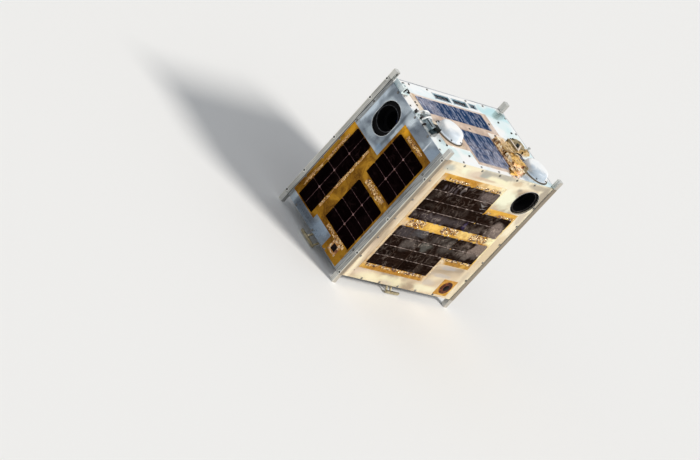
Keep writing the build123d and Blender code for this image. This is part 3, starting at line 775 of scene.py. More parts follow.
def cellMaterial(node, face, look):
    material, tree, shader, place = newMaterial("cellGlass_" + node)
    onAxis, shortWay, longWay, cellNumber = cellLattice(tree, place, node, face)
    bars, fingers = cellBars(tree, place, look, shortWay, longWay)
    # each cell tilts a little, so the reflections break off at its edges
    shifted = vectorMath(tree, "ADD", place, cellNumber)
    creases = useGroup(tree, creaseGroup, {
        "Vector": shifted, "Scale": cellCreases["scale"], "Warp": cellCreases["warp"]})
    broad = noiseAt(tree, shifted, 12.0, detail=2.0, distortion=1.2)
    dark, middle, light = look["tones"]
    grain = spread(tree, noiseAt(tree, place, 150.0, detail=4.0, rough=0.7), 0.35, 0.65)
    base = blendColours(tree, math1(tree, "MULTIPLY", cellNumber, grain), dark, middle)
    patch = spread(tree, broad, *look["patch"])
    if node in cellGlow:
        axis, start, end, amount = cellGlow[node]
        rise = spread(tree, onAxis[axis], start, end, 0.0, amount)
        uneven = spread(tree, noiseAt(tree, shifted, 26.0, rough=0.6, distortion=1.0), 0.4, 0.55, 0.15, 1.0)
        patch = math1(tree, "MAXIMUM", patch, math1(tree, "MULTIPLY", rise, uneven))
    hazed = math1(tree, "MULTIPLY", patch, math1(tree, "ADD", math1(tree, "MULTIPLY", grain, 0.8), 0.4))
    base = tint(tree, base, hazed, look["haze"], light)
    # spots of reflected light, with waved edges
    waveInputs = {"Vector": shifted, "Scale": cellCreases["scale"], "Detail": 2.0}
    wave = addNode(tree, "ShaderNodeTexNoise", waveInputs).outputs["Color"]
    wave = vectorMath(tree, "SUBTRACT", wave, (0.5, 0.5, 0.5))
    wave = vectorMath(tree, "MULTIPLY", wave, cellCreases["wave"])
    base = paintSpots(tree, vectorMath(tree, "ADD", place, wave), base, look.get("spots", ()))
    # the hazy parts are mottled and carry the crisp creases
    hazy = addNode(tree, "ShaderNodeRGBToBW", {"Color": base}).outputs["Val"]
    mottle = spread(tree, noiseAt(tree, place, 260.0, rough=0.7), 0.42, 0.62, 0.0, 0.5)
    base = blendColours(tree, mottle, base, middle)
    line = math1(tree, "MULTIPLY", spread(tree, creases.outputs["Ridge"], 0.6, 1.0), look["line"])
    lined = spread(tree, noiseAt(tree, shifted, 20.0, detail=2.0), 0.48, 0.64, 0.05, 0.8)
    lined = math1(tree, "MULTIPLY", lined, spread(tree, hazy, *look.get("lineFrom", (0.0, 0.001))))
    base = tint(tree, base, line, lined, light)
    base = tint(tree, base, fingers, look["finger"], look["bus"])
    base = blendColours(tree, bars, base, look["bus"])
    if "rim" in look:
        # painted glint along the long edges of each cell
        half = cellSize["short"] / 2
        fromMiddle = math1(tree, "ABSOLUTE", math1(tree, "SUBTRACT", shortWay, half))
        rim = spread(tree, fromMiddle, half - look["rim"] * mm, half - look["rim"] * mm / 2, 0.0, 0.3)
        base = blendColours(tree, rim, base, look["bus"])
    setShader(tree, shader, {
        "Base Color": base,
        "Metallic": 0.0,
        "Roughness": spread(tree, broad, 0.3, 0.7, 0.1, 0.22),
        "Specular IOR Level": look.get("specular", 0.0),
        "Normal": bumpOf(tree, creases.outputs["Height"], 0.08, 0.0005),
    })
    return material


# Paints and plastics
paintLooks = {
    "domeWhite": {
        "tones": [(0.88, 0.92, 0.96), (0.97, 0.98, 0.98)], "rough": 0.42, "coat": 0.1, "peel": 0.1,
        # painted blue-grey shade on each dome's flank toward the left and front
        "spots": [((-178, -72, 532), (40, 40, 40), 0.9, (0.6, 0.68, 0.77)),
                  ((182, -146, 532), (44, 44, 40), 0.95, (0.44, 0.53, 0.63))]},
    "patchWhite": {
        "tones": [(0.78, 0.8, 0.82), (0.9, 0.91, 0.91)],
        "rough": 0.42, "coat": 0.15, "peel": 0.12},
    "baffleBlack": {
        "tones": [(0.0015, 0.0015, 0.0018), (0.003, 0.003, 0.0035)],
        "rough": 0.75, "specular": 0.08},
    "connectorPale": {"tones": [(0.16, 0.23, 0.27), (0.72, 0.82, 0.88)], "rough": 0.4, "specular": 0.15},
    "bootTeal": {"tones": [(0.003, 0.008, 0.01), (0.03, 0.05, 0.06)], "rough": 0.4, "specular": 0.1},
    "connectorBlack": {
        "tones": [(0.0015, 0.003, 0.003), (0.006, 0.009, 0.008)],
        "rough": 0.45, "specular": 0.05},
    "bracketPale": {"tones": [(0.42, 0.56, 0.6), (0.86, 0.95, 0.96)], "rough": 0.3, "coat": 0.1, "peel": 0.1},
    "wellTeal": {"tones": [(0.006, 0.03, 0.044), (0.03, 0.1, 0.14)], "rough": 0.4, "specular": 0.15},
    "wellCover": {"tones": [(0.1, 0.2, 0.27), (0.34, 0.5, 0.6)], "rough": 0.35, "coat": 0.05, "peel": 0.1},
    "sensorGlass": {
        "tones": [(0.004, 0.001, 0.001), (0.02, 0.006, 0.006)], "rough": 0.14, "coat": 0.03, "peel": 0.0,
        "specular": 0.04},
    "sensorAmber": {
        "tones": [(0.05, 0.01, 0.005), (0.26, 0.075, 0.025)], "rough": 0.4, "coat": 0.05, "peel": 0.3,
        "specular": 0.1},
    "capTan": {"tones": [(0.5, 0.4, 0.28), (0.8, 0.7, 0.55)], "rough": 0.4, "coat": 0.05},
    "cellGlue": {
        "tones": [(0.02, 0.009, 0.005), (0.05, 0.024, 0.013)],
        "rough": 0.5, "peel": 0.3, "specular": 0.1},
    "glueDeck": {
        "tones": [(0.05, 0.055, 0.075), (0.14, 0.13, 0.16)],
        "rough": 0.5, "peel": 0.3, "specular": 0.2},
    "fleckRed": {"tones": [(0.03, 0.006, 0.004), (0.12, 0.03, 0.012)], "rough": 0.4, "coat": 0.1},
    "cableWhite": {"tones": [(0.75, 0.77, 0.78), (0.92, 0.93, 0.93)], "rough": 0.4, "coat": 0.2, "peel": 0.1},
    "strapBeige": {"tones": [(0.5, 0.4, 0.32), (0.9, 0.78, 0.66)], "rough": 0.35, "coat": 0.1, "peel": 0.1},
    "wireTan": {"tones": [(0.42, 0.16, 0.012), (0.95, 0.58, 0.2)], "rough": 0.3, "coat": 0.3, "peel": 0.1},
    # dark brown of the seal line round the domes and of their painted shadow
    "sealShadowBrown": {"tones": [(0.05, 0.035, 0.02), (0.12, 0.09, 0.05)], "rough": 0.6, "peel": 0.3},
}


def paintMaterial(name, look):
    material, tree, shader, place = newMaterial(name)
    broad = noiseAt(tree, place, 30.0, rough=0.55)
    peel = noiseAt(tree, place, 900.0, detail=2.0)
    specks = useGroup(tree, speckGroup, {"Vector": place, "Scale": 200.0, "Amount": 0.2}).outputs["Mask"]
    dark, light = look["tones"]
    base = blendColours(tree, spread(tree, broad, 0.35, 0.65), dark, light)
    base = paintSpots(tree, place, base, look.get("spots", ()))
    base = tint(tree, base, specks, 0.3, dark)
    setShader(tree, shader, {
        "Base Color": base,
        "Roughness": spread(tree, broad, 0.3, 0.7, look["rough"] * 0.85, look["rough"] * 1.1),
        "Specular IOR Level": look.get("specular", 0.5),
        "Coat Weight": look.get("coat", 0.0),
        "Coat Roughness": 0.12,
        "Normal": bumpOf(tree, peel, look.get("peel", 0.2), 0.0003),
    })
    return material


# Coated glass of the star trackers' lenses
lensTones = [(0.001, 0.004, 0.03), (0.004, 0.012, 0.08)]


def lensMaterial():
    material, tree, shader, place = newMaterial("lensGlass")
    cloud = noiseAt(tree, place, 40.0, detail=2.0)
    setShader(tree, shader, {
        "Base Color": blendColours(tree, spread(tree, cloud, 0.35, 0.65), *lensTones),
        "Roughness": 0.06,
        "Coat Weight": 0.6,
        "Coat Roughness": 0.02,
        "Coat Tint": (0.45, 0.55, 1.0),
    })
    return material


# Crumpled metal-backed film, from the gold wrap of the deck units to the tape over the cables. Pieces made of
# facets carry a painted light tone for each facet; on the others the pattern picks the facets. Both stand for
# painted reflection and shade on the crumples
foilLooks = {
    "goldFoil": {
        "tones": [(0.05, 0.018, 0.001), (0.34, 0.16, 0.012), (0.9, 0.56, 0.17)], "crease": 70.0,
        "metal": 0.5, "rough": (0.16, 0.36), "bump": 0.15},
    "creamFoil": {
        "tones": [(0.13, 0.045, 0.01), (0.72, 0.42, 0.17), (1.0, 0.86, 0.62)], "crease": 70.0,
        "metal": 0.65, "rough": (0.16, 0.36), "bump": 0.15},
    "tanFoil": {
        "tones": [(0.14, 0.075, 0.014), (0.43, 0.27, 0.09), (0.72, 0.52, 0.28)], "crease": 60.0,
        "metal": 0.4, "rough": (0.25, 0.4), "bump": 0.15},
    "oliveFoil": {
        "tones": [(0.04, 0.026, 0.006), (0.2, 0.142, 0.058), (0.42, 0.33, 0.18)], "crease": 60.0,
        "metal": 0.4, "rough": (0.25, 0.4), "bump": 0.15},
    "pinkFoil": {
        "tones": [(0.24, 0.05, 0.02), (0.72, 0.38, 0.17), (0.95, 0.66, 0.42)], "crease": 90.0,
        "metal": 0.5, "rough": (0.18, 0.34), "bump": 0.15},
    "sensorFoil": {
        "tones": [(0.2, 0.04, 0.006), (0.62, 0.26, 0.03), (1.0, 0.82, 0.58)], "crease": 120.0,
        "metal": 0.5, "rough": (0.18, 0.36), "bump": 0.6, "facets": False},
    "tapeFront": {
        "tones": [(0.16, 0.04, 0.004), (0.6, 0.27, 0.03), (1.0, 0.82, 0.46)], "crease": 130.0,
        "metal": 0.3, "rough": (0.2, 0.36), "bump": 0.3},
    "tapeLeft": {
        "tones": [(0.05, 0.01, 0.0), (0.44, 0.17, 0.008), (1.0, 0.76, 0.4)], "crease": 130.0,
        "metal": 0.3, "rough": (0.2, 0.36), "bump": 0.3},
    "tapePlain": {
        "tones": [(0.14, 0.05, 0.004), (0.38, 0.18, 0.025), (0.85, 0.6, 0.28)], "crease": 130.0,
        "metal": 0.3, "rough": (0.2, 0.36), "bump": 0.3},
}


def foilMaterial(name, look):
    material, tree, shader, place = newMaterial(name)
    creases = useGroup(tree, creaseGroup, {"Vector": place, "Scale": look["crease"], "Warp": 1.6})
    broad = noiseAt(tree, place, look["crease"] * 0.5, detail=4.0, rough=0.6, distortion=1.0)
    facet = creases.outputs["Facet"]
    if look.get("facets", True):
        facet = addNode(tree, "ShaderNodeAttribute", attribute_name="paintedFacetLight").outputs["Fac"]
    unrest = spread(tree, broad, 0.35, 0.65, -0.12, 0.12)
    dark, middle, light = look["tones"]
    base = colourRamp(tree, math1(tree, "ADD", facet, unrest), [(0.12, dark), (0.5, middle), (0.9, light)])
    # painted glints along the crease ridges
    base = tint(tree, base, creases.outputs["Ridge"], 0.2, light)
    low, high = look["rough"]
    setShader(tree, shader, {
        "Base Color": base,
        "Metallic": look["metal"],
        "Roughness": spread(tree, facet, 0.0, 1.0, low, high),
        "Specular IOR Level": 0.03,
        "Normal": bumpOf(tree, creases.outputs["Height"], look["bump"], 0.001),
    })
    return material


metals = {name: metalMaterial(name, look) for name, look in metalLooks.items()}
films = {name: filmMaterial(name, look) for name, look in filmLooks.items()}
paints = {name: paintMaterial(name, look) for name, look in paintLooks.items()}
foils = {name: foilMaterial(name, look) for name, look in foilLooks.items()}
lensGlass = lensMaterial()
print("satellite: materials ready")

# Finish of each carried-over node, by the start of its name
nodeFinish = [
    ("rail_", metals["railMetal"]),
    ("panel_front", metals["panelFront"]), ("panel_left", metals["panelLeft"]),
    ("panel_rear", metals["panelRear"]), ("panel_right", metals["panelPlain"]),
    ("panel_bottom", metals["panelPlain"]), ("panel_top", metals["deckTop"]),
    ("equipment_stack", metals["stackMetal"]), ("test_connectors", paints["wellTeal"]),
    ("tracker_baffle_", paints["baffleBlack"]), ("tracker_lens_", lensGlass),
    ("film_front", films["filmFront"]), ("film_left", films["filmLeft"]), ("film_top", films["filmTop"]),
    ("film_", films["filmPlain"]),
    ("sun_sensor_front", paints["sensorAmber"]), ("sun_sensor_", foils["sensorFoil"]),
    ("antenna_dome_", paints["domeWhite"]),
    ("foil_unit_long", foils["goldFoil"]), ("foil_unit_short", foils["oliveFoil"]),
    ("cable_connector", paints["connectorPale"]), ("cable_clamp", metals["clampMetal"]),
    ("corner_bracket", paints["bracketPale"]), ("tie_down_post", metals["railMetal"]),
    ("patch_antenna_", paints["patchWhite"]), ("edge_bracket_", metals["bracketTan"]),
]


def setMaterial(piece, material):
    piece.data.materials.clear()
    piece.data.materials.append(material)


for nodeName, node in nodes.items():
    if nodeName.startswith("cells_"):
        face = nodeName.split("_")[1]
        look = cellLooks.get(face, cellLooks["plain"])
        setMaterial(node, cellMaterial(nodeName, face, look))
        continue
    finish = next(material for start, material in nodeFinish if nodeName.startswith(start))
    setMaterial(node, finish)
print("satellite: nodes finished")

# Shapes: each stands on Z = 0 round the Z axis, sizes given in millimetres
def latheShape(profile, steps=20, closed=False):
    bm = bmesh.new()
    verts = [bm.verts.new((radius * mm, 0.0, height * mm)) for radius, height in profile]
    pairs = list(zip(verts, verts[1:]))
    if closed:
        pairs.append((verts[-1], verts[0]))
    edges = [bm.edges.new(pair) for pair in pairs]
    bmesh.ops.spin(bm, geom=verts + edges, axis=(0, 0, 1), cent=(0, 0, 0), angle=math.tau, steps=steps,
                   use_merge=True)
    bmesh.ops.remove_doubles(bm, verts=bm.verts, dist=0.001 * mm)
    bmesh.ops.recalc_face_normals(bm, faces=bm.faces)
    return bm


def blockShape(width, depth, height, bevel=0.15, segments=1):
    bm = bmesh.new()
    scale = Matrix.Diagonal((width * mm, depth * mm, height * mm, 1))
    bmesh.ops.create_cube(bm, size=1.0, matrix=Matrix.Translation((0, 0, height * mm / 2)) @ scale)
    bmesh.ops.bevel(bm, geom=bm.edges[:], offset=bevel * mm, segments=segments, profile=0.5,
                    affect="EDGES", material=-1)
    return bm


def stamp(bm, shape, places):
    # adds a copy of the shape at each place, and frees the shape
    mesh = bpy.data.meshes.new("stampedShape")
    shape.to_mesh(mesh)
    shape.free()
    for place in places:
        known = len(bm.verts)
        bm.from_mesh(mesh)
        bm.verts.ensure_lookup_table()
        bmesh.ops.transform(bm, matrix=place, verts=bm.verts[known:])
    bpy.data.meshes.remove(mesh)


def crumple(bm, place, size, cell, layers, push, flare, seed):
    # crumpled film: a gridded top pulled down in layers to its foot, then its points pushed at random
    width, depth, height = size
    chance = random.Random(seed)
    lay = Matrix.Translation((0, 0, height * mm)) @ Matrix.Diagonal((width * mm / 2, depth * mm / 2, 1, 1))
    columns = max(2, round(width / cell))
    rows = max(2, round(depth / cell))
    made = bmesh.ops.create_grid(bm, x_segments=columns, y_segments=rows, size=1.0, matrix=lay)
    verts = list(made["verts"])
    rim = [edge for edge in {edge for vert in verts for edge in vert.link_edges} if edge.is_boundary]
    foot = []
    for layer in range(layers):
        pulled = bmesh.ops.extrude_edge_only(bm, edges=rim)["geom"]
        foot = [item for item in pulled if isinstance(item, bmesh.types.BMVert)]
        rim = [item for item in pulled if isinstance(item, bmesh.types.BMEdge) and item.is_boundary]
        bmesh.ops.translate(bm, verts=foot, vec=(0, 0, -height * mm / layers))
        verts += foot
    bmesh.ops.holes_fill(bm, edges=rim, sides=0)
    footSet = set(foot)
    upper = [vert for vert in verts if vert not in footSet]
    for vert in upper:
        broad = noise.noise_vector(vert.co * 60 + Vector((seed, 0, 0)))
        jolt = Vector([chance.uniform(-1, 1) for axis in range(3)])
        shift = (broad * 1.3 + jolt * 0.6) * push * mm
        vert.co += shift
        vert.co.z = min(max(vert.co.z, 0.2 * mm), (height + 0.3 * push) * mm)
    for vert in foot:
        vert.co.xy *= 1 + chance.uniform(0.2, 1.0) * flare * mm / max(vert.co.xy.length, mm)
    bmesh.ops.transform(bm, matrix=place, verts=verts)


def tubes(bm, paths, radius):
    # round wires along smooth paths of points in the frame
    curve = bpy.data.curves.new("wirePath", "CURVE")
    curve.dimensions = "3D"
    curve.bevel_depth = radius * mm
    curve.bevel_resolution = 1
    curve.use_fill_caps = True
    curve.resolution_u = 4
    for path in paths:
        spline = curve.splines.new("NURBS")
        spline.points.add(len(path) - 1)
        for point, place in zip(spline.points, path):
            point.co = (*place, 1.0)
        spline.order_u = min(4, len(path))
        spline.use_endpoint_u = True
    holder = bpy.data.objects.new("wirePath", curve)
    scene.collection.objects.link(holder)
    graph = bpy.context.evaluated_depsgraph_get()
    mesh = bpy.data.meshes.new_from_object(holder.evaluated_get(graph))
    bm.from_mesh(mesh)
    bpy.data.objects.remove(holder)
    bpy.data.meshes.remove(mesh)


# direction of the painted light on the facets, and the shares of facing, chance and lowering in each tone
facetLight = Vector((-0.3, -0.5, 0.8)).normalized()
facetLightShares = {"lit": 0.5, "chance": 0.9, "less": 0.22}


def paintFacetLight(bm):
    # a painted light tone for each triangle: partly chance, for painted reflections, and partly painted shade
    # from how it faces the light
    chance = random.Random(len(bm.verts))
    bmesh.ops.triangulate(bm, faces=bm.faces)
    bmesh.ops.recalc_face_normals(bm, faces=bm.faces)
    bm.normal_update()
    layer = bm.faces.layers.float.new("paintedFacetLight")
    for face in bm.faces:
        lit = 0.5 + 0.5 * face.normal.dot(facetLight)
        tone = facetLightShares["lit"] * lit + facetLightShares["chance"] * chance.random() - facetLightShares["less"]
        face[layer] = min(max(tone, 0.0), 1.0)


def newPiece(name, bm, material, smooth=None, facets=False):
    if facets:
        paintFacetLight(bm)
    bmesh.ops.recalc_face_normals(bm, faces=bm.faces)
    mesh = bpy.data.meshes.new(name)
    bm.to_mesh(mesh)
    bm.free()
    if smooth is not None:
        mesh.shade_smooth()
        mesh.set_sharp_from_angle(angle=math.radians(smooth))
    piece = bpy.data.objects.new(name, mesh)
    scene.collection.objects.link(piece)
    mesh.materials.append(material)
    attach(piece, "root")
    return piece


def stampedPiece(name, shape, places, material, smooth=30):
    bm = bmesh.new()
    stamp(bm, shape, places)
    return newPiece(name, bm, material, smooth)


def blocksPiece(name, blocks, material):
    # bevelled blocks on the deck: size with bevel and its steps, then across, up, out and turn
    bm = bmesh.new()
    for size, place in blocks:
        stamp(bm, blockShape(*size), [onFace("top", *place)])
    return newPiece(name, bm, material, 30)


def hooksPiece(name, look):
    # bent black wires on the deck, each along the same path of points
    bm = bmesh.new()
    places = [onFace("top", *place) for place in look["places"]]
    tubes(bm, [[place @ (Vector(point) * mm) for point in look["path"]] for place in places], look["radius"])
    return newPiece(name, bm, metals["screwBlack"], 60)


# Screws round the edges of every panel: a pan head with a socket on a flat dark washer, which also stands for
# the painted shade in the screw's counterbore
sideScrews = {"heights": (115.0, 195.0, 275.0, 355.0, 435.0), "top": 515.5, "bottom": 36.4}
faceScrews = {
    "front": {"edge": 252.5, "top": (-172, -87, -2, 83, 170), "bottom": (-170, -87, 0, 85, 170)},
    "rear": {"edge": 252.5, "top": (-172, -87, -2, 83, 170), "bottom": (-170, -87, 0, 85, 170)},
    "left": {"edge": 152.0, "top": (-108, -4, 75), "bottom": (-108, -4, 75)},
    "right": {"edge": 152.0, "top": (-75, 4, 108), "bottom": (-75, 4, 108)},
}
deckScrews = {
    "top": [(-172, -161), (-87, -161), (-2, -161), (83, -161), (172, 161), (87, 161), (-100, 161),
            (-187, 161), (-261, -130), (-261, -75), (-261, 52), (-261, 90), (261, -62), (261, 62),
            (261, 130)],
    "bottom": [(across, up) for up in (-161, 161) for across in (-172, -87, 87, 172)]
              + [(across, up) for across in (-261, 261) for up in (-130, -75, 75, 130)],
}
deckMarks = [(-221, 76), (-222, 63), (-205, -99), (-115, -122), (200, 97), (-5, 18), (133, 72), (123, 20),
             (-228, -86), (236, 60), (207, 28)]
headProfile = [(0, 0.4), (3.1, 0.4), (3.1, 0.9), (2.6, 1.5), (1.5, 1.7), (1.5, 0.9), (0, 0.9)]
washerProfile = [(0, 0), (4.0, 0), (4.0, 0.3), (3.7, 0.45), (0, 0.45)]
plugProfile = [(0, 0), (3.6, 0), (3.6, 1.0), (2.9, 1.9), (1.3, 2.1), (1.3, 1.2), (0, 1.2)]
groundStuds = [("front", -228, 491), ("front", -228, 60), ("left", 3, 40), ("left", 150, 195)]
studProfile = [(0, 0), (1.6, 0), (1.6, 0.5), (1.1, 0.9), (0, 1.0)]


def makeScrews():
    spots = []
    for face, look in faceScrews.items():
        for height in sideScrews["heights"]:
            spots += [onFace(face, side * look["edge"], height) for side in (-1, 1)]
        spots += [onFace(face, across, sideScrews["top"]) for across in look["top"]]
        spots += [onFace(face, across, sideScrews["bottom"]) for across in look["bottom"]]
    for face, marks in deckScrews.items():
        spots += [onFace(face, across, up) for across, up in marks]
    stampedPiece("panelWashers", latheShape(washerProfile, 16), spots, metals["washerAndShadeDark"])
    stampedPiece("panelScrews", latheShape(headProfile, 16), spots, metals["screwSteel"])
    marks = [onFace("top", across, up) for across, up in deckMarks]
    stampedPiece("deckPlugs", latheShape(plugProfile, 14), marks, metals["screwBlack"])
    studs = [onFace(*stud) for stud in groundStuds]
    stampedPiece("groundStuds", latheShape(studProfile, 12), studs, metals["screwBlack"])


makeScrews()

# Blocks of cells on each face, as in the part: left, bottom, columns, rows, cell width, cell height
cellLong = cellSize["long"] / mm
cellShort = cellSize["short"] / mm
cellGap = cellSize["gap"] / mm
cellBlocks = {
    "front": [(-211.2, 291.5, 4, 4, cellLong, cellShort), (71.6, 291.5, 2, 2, cellLong, cellShort),
              (-211.2, 98.5, 4, 4, cellLong, cellShort), (71.6, 179.1, 2, 2, cellLong, cellShort)],
    "rear": [(-211.2, 291.5, 6, 4, cellLong, cellShort), (-211.2, 98.5, 6, 4, cellLong, cellShort)],
    "left": [(-128.5, 64.5, 2, 4, cellShort, cellLong), (-2.0, 290.5, 2, 4, cellLong, cellShort),
             (-2.0, 98.5, 2, 4, cellLong, cellShort)],
    "right": [(-140.5, 291.5, 4, 4, cellLong, cellShort), (-140.5, 98.5, 4, 4, cellLong, cellShort)],
    "top": [(-200.0, 40.0, 8, 1, cellShort, cellLong), (-80.0, -137.0, 4, 2, cellShort, cellLong)],
    "bottom": [(-140.5, -79.7, 4, 4, cellLong, cellShort)],
}
filmTop = 0.5
cellTop = 1.5
cellGlue = {"top": 1.38, "narrower": 0.1, "shorter": 3, "pad": 6.6, "padLower": 0.02}
cellTabs = {"size": (10.0, 2.6, 0.35), "aside": 22.5, "sunk": 0.05}
cellRows = {"width": 1.7, "height": 0.3, "shorter": 6, "sunk": 0.1}
cellRibbons = {"width": 1.7, "height": 0.3, "shorter": 2, "sunk": (0.1, 0.12)}
cellStars = [((9.0, 2.2, 0.45), 0), ((9.0, 2.2, 0.45), 90), ((4.0, 4.0, 0.55), 45)]


def seams(block):
    # the places of the gaps between the columns and rows of a block, and of its outer edges
    left, bottom, columns, rows, width, height = block
    acrossSeams = [left + k * (width + cellGap) - cellGap / 2 for k in range(columns + 1)]
    upSeams = [bottom + k * (height + cellGap) - cellGap / 2 for k in range(rows + 1)]
    return acrossSeams, upSeams


def laySeams(bm, face, block, width, shorter, height, levels):
    # a strip along each gap of a block, at one level upwards and one across; returns where they cross
    acrossSeams, upSeams = seams(block)
    wide = acrossSeams[-1] - acrossSeams[0]
    tall = upSeams[-1] - upSeams[0]
    middle = ((acrossSeams[-1] + acrossSeams[0]) / 2, (upSeams[-1] + upSeams[0]) / 2)
    for seam in acrossSeams[1:-1]:
        stamp(bm, blockShape(width, tall - shorter, height), [onFace(face, seam, middle[1], levels[0])])
    for seam in upSeams[1:-1]:
        stamp(bm, blockShape(wide - shorter, width, height), [onFace(face, middle[0], seam, levels[1])])
    return [(across, up) for across in acrossSeams[1:-1] for up in upSeams[1:-1]]


def makeGlue(face, material):
    # dark adhesive in the gaps between cells, with a pad where four cropped corners meet
    bm = bmesh.new()
    height = cellGlue["top"] - filmTop
    for block in cellBlocks[face]:
        crossings = laySeams(bm, face, block, cellGap - cellGlue["narrower"], cellGlue["shorter"], height,
                             (filmTop, filmTop))
        pads = [onFace(face, across, up, filmTop, 45) for across, up in crossings]
        stamp(bm, blockShape(cellGlue["pad"], cellGlue["pad"], height - cellGlue["padLower"]), pads)
    newPiece("cellGlue_" + face, bm, material, 30)


for face in cellBlocks:
    makeGlue(face, paints["glueDeck"] if face == "top" else paints["cellGlue"])


def makeTabs(face):
    # two soldered tabs on each cell's long edges, and a thin tinned wire that joins the tabs of each row
    spots = []
    wires = bmesh.new()
    for block in cellBlocks[face]:
        acrossSeams, upSeams = seams(block)
        for start, end in zip(acrossSeams, acrossSeams[1:]):
            for up in upSeams:
                spots += [onFace(face, (start + end) / 2 + side * cellTabs["aside"], up,
                                 cellTop - cellTabs["sunk"]) for side in (-1, 1)]
        wide = acrossSeams[-1] - acrossSeams[0]
        middle = (acrossSeams[-1] + acrossSeams[0]) / 2
        places = [onFace(face, middle, seam, cellTop - cellRows["sunk"]) for seam in upSeams[1:-1]]
        shape = blockShape(wide - cellRows["shorter"], cellRows["width"], cellRows["height"])
        stamp(wires, shape, places)
    tab = blockShape(*cellTabs["size"])
    stampedPiece("cellTabs_" + face, tab, spots, metals["ribbonFront"])
    newPiece("cellRows_" + face, wires, metals["rowWire"], 30)


for face in ("front", "rear"):
    makeTabs(face)


def makeRibbons(face, dull, bright):
    # flat tinned ribbons over the gaps, with a star of solder where they cross
    bm = bmesh.new()
    crossings = []
    levels = [cellTop - sunk for sunk in cellRibbons["sunk"]]
    for block in cellBlocks[face]:
        crossings += laySeams(bm, face, block, cellRibbons["width"], cellRibbons["shorter"],
                              cellRibbons["height"], levels)
    newPiece("cellRibbons_" + face, bm, dull, 30)
    bm = bmesh.new()
    for size, turn in cellStars:
        stamp(bm, blockShape(*size), [onFace(face, across, up, cellTop, turn) for across, up in crossings])
    newPiece("cellStars_" + face, bm, bright, 30)


# the ribbons in painted shade and their stars' pink painted highlight, as on the left face
for face in ("left", "right", "bottom"):
    makeRibbons(face, metals["ribbonLeft"], metals["starLeft"])
print("satellite: screws and cell connections ready")

# Crinkled tape over the cable runs beside the cells: left, bottom, right and top, and the stretches of each
tapeRuns = {
    "front": [((-205, 453, 74, 464), [(20, 115), (150, 270)]),
              ((-220, 262, 216, 290), [(30, 108), (185, 260), (320, 405)]),
              ((-216, 86, 78, 98), [(11, 66), (81, 156), (166, 276)]),
              ((77, 371, 216, 381), [(4, 20), (60, 133)]),
              ((82, 169, 216, 179), [(3, 68), (83, 128)])],
    "left": [((-2, 264, 142, 288), [(22, 118)]),
             ((20, 455, 110, 471), [(6, 86)]),
             ((-49, 96, -39, 336), [(4, 50), (76, 236)]),
             ((-141, 95, -131, 316), [(0, 88), (110, 216)]),
             ((20, 82, 128, 97), [(4, 58), (62, 104)])],
    "rear": [((-220, 456, 220, 474), [(0, 430)]),
             ((-220, 263, 220, 289), [(0, 430)]),
             ((-220, 77, 190, 96), [(0, 400)])],
    "right": [((-148, 263, 148, 289), [(0, 290)]),
              ((-148, 456, 148, 474), [(0, 290)])],
}
# lengths and places in millimetres, widths and aside as shares of the run's breadth; marks stand on the tape,
# one for each area: blobs of painted glint as a share of them, the rest dark red flecks
tapeLook = {"length": (9, 30), "width": (0.35, 0.8), "height": 0.8, "turn": 5, "gap": 5, "shortest": 6,
            "cell": 3.8, "push": 0.7, "flare": 0.5, "markArea": 26, "markInset": 3, "markLift": (0.2, 0.6),
            "markLength": (0.7, 1.8), "markWidth": (0.6, 1.3)}
glintShare = {"front": 0.4, "left": 0.85}
tapeMaterials = {"front": foils["tapeFront"], "left": foils["tapeLeft"]}
tapeGlintMetal = {"left": metals["glintGold"]}
glintBlob = [(0, 0), (1.5, 0), (1.3, 0.5), (0.7, 0.8), (0, 0.9)]


def makeTape(face, runs):
    chance = random.Random(face)
    bm = bmesh.new()
    glintMarks = []
    darkFlecks = []
    for (left, bottom, right, top), stretches in runs:
        lying = right - left > top - bottom
        breadth = min(right - left, top - bottom)

        def placeAlong(along, aside, out, turn):
            # along the run from its start, aside from its middle line
            if lying:
                return onFace(face, left + along, (bottom + top) / 2 + aside, out, turn)
            return onFace(face, (left + right) / 2 + aside, bottom + along, out, 90 + turn)

        for first, last in stretches:
            start = first
            while start < last - tapeLook["shortest"]:
                size = min(chance.uniform(*tapeLook["length"]), last - start)
                width = breadth * chance.uniform(*tapeLook["width"])
                aside = chance.uniform(-0.5, 0.5) * (breadth - width)
                turn = chance.uniform(-tapeLook["turn"], tapeLook["turn"])
                place = placeAlong(start + size / 2, aside, filmTop, turn)
                crumple(bm, place, (size, width, tapeLook["height"]), tapeLook["cell"], 1,
                        tapeLook["push"], tapeLook["flare"], chance.randint(1, 999))
                start += size + chance.uniform(0, tapeLook["gap"])
            for count in range(round((last - first) * breadth / tapeLook["markArea"])):
                aside = chance.uniform(-0.5, 0.5) * (breadth - tapeLook["markInset"])
                along = chance.uniform(first, last)
                lift = chance.uniform(*tapeLook["markLift"])
                place = placeAlong(along, aside, filmTop + lift, chance.uniform(0, 180))
                length = chance.uniform(*tapeLook["markLength"])
                scale = Matrix.Diagonal((length, chance.uniform(*tapeLook["markWidth"]), 1, 1))
                # a share of the marks are blobs of painted glint on the crinkled tape, the rest dark red
                # flecks
                kind = glintMarks if chance.random() < glintShare.get(face, 0.5) else darkFlecks
                kind.append(place @ scale)
    newPiece("tape_" + face, bm, tapeMaterials.get(face, foils["tapePlain"]), facets=True)
    stampedPiece("solder_" + face, latheShape(glintBlob, 7), glintMarks,
                 tapeGlintMetal.get(face, metals["pinAndGlintBright"]), 60)
    stampedPiece("parts_" + face, blockShape(3.6, 2.2, 0.9, 0.2), darkFlecks, paints["fleckRed"])


for face, runs in tapeRuns.items():
    makeTape(face, runs)

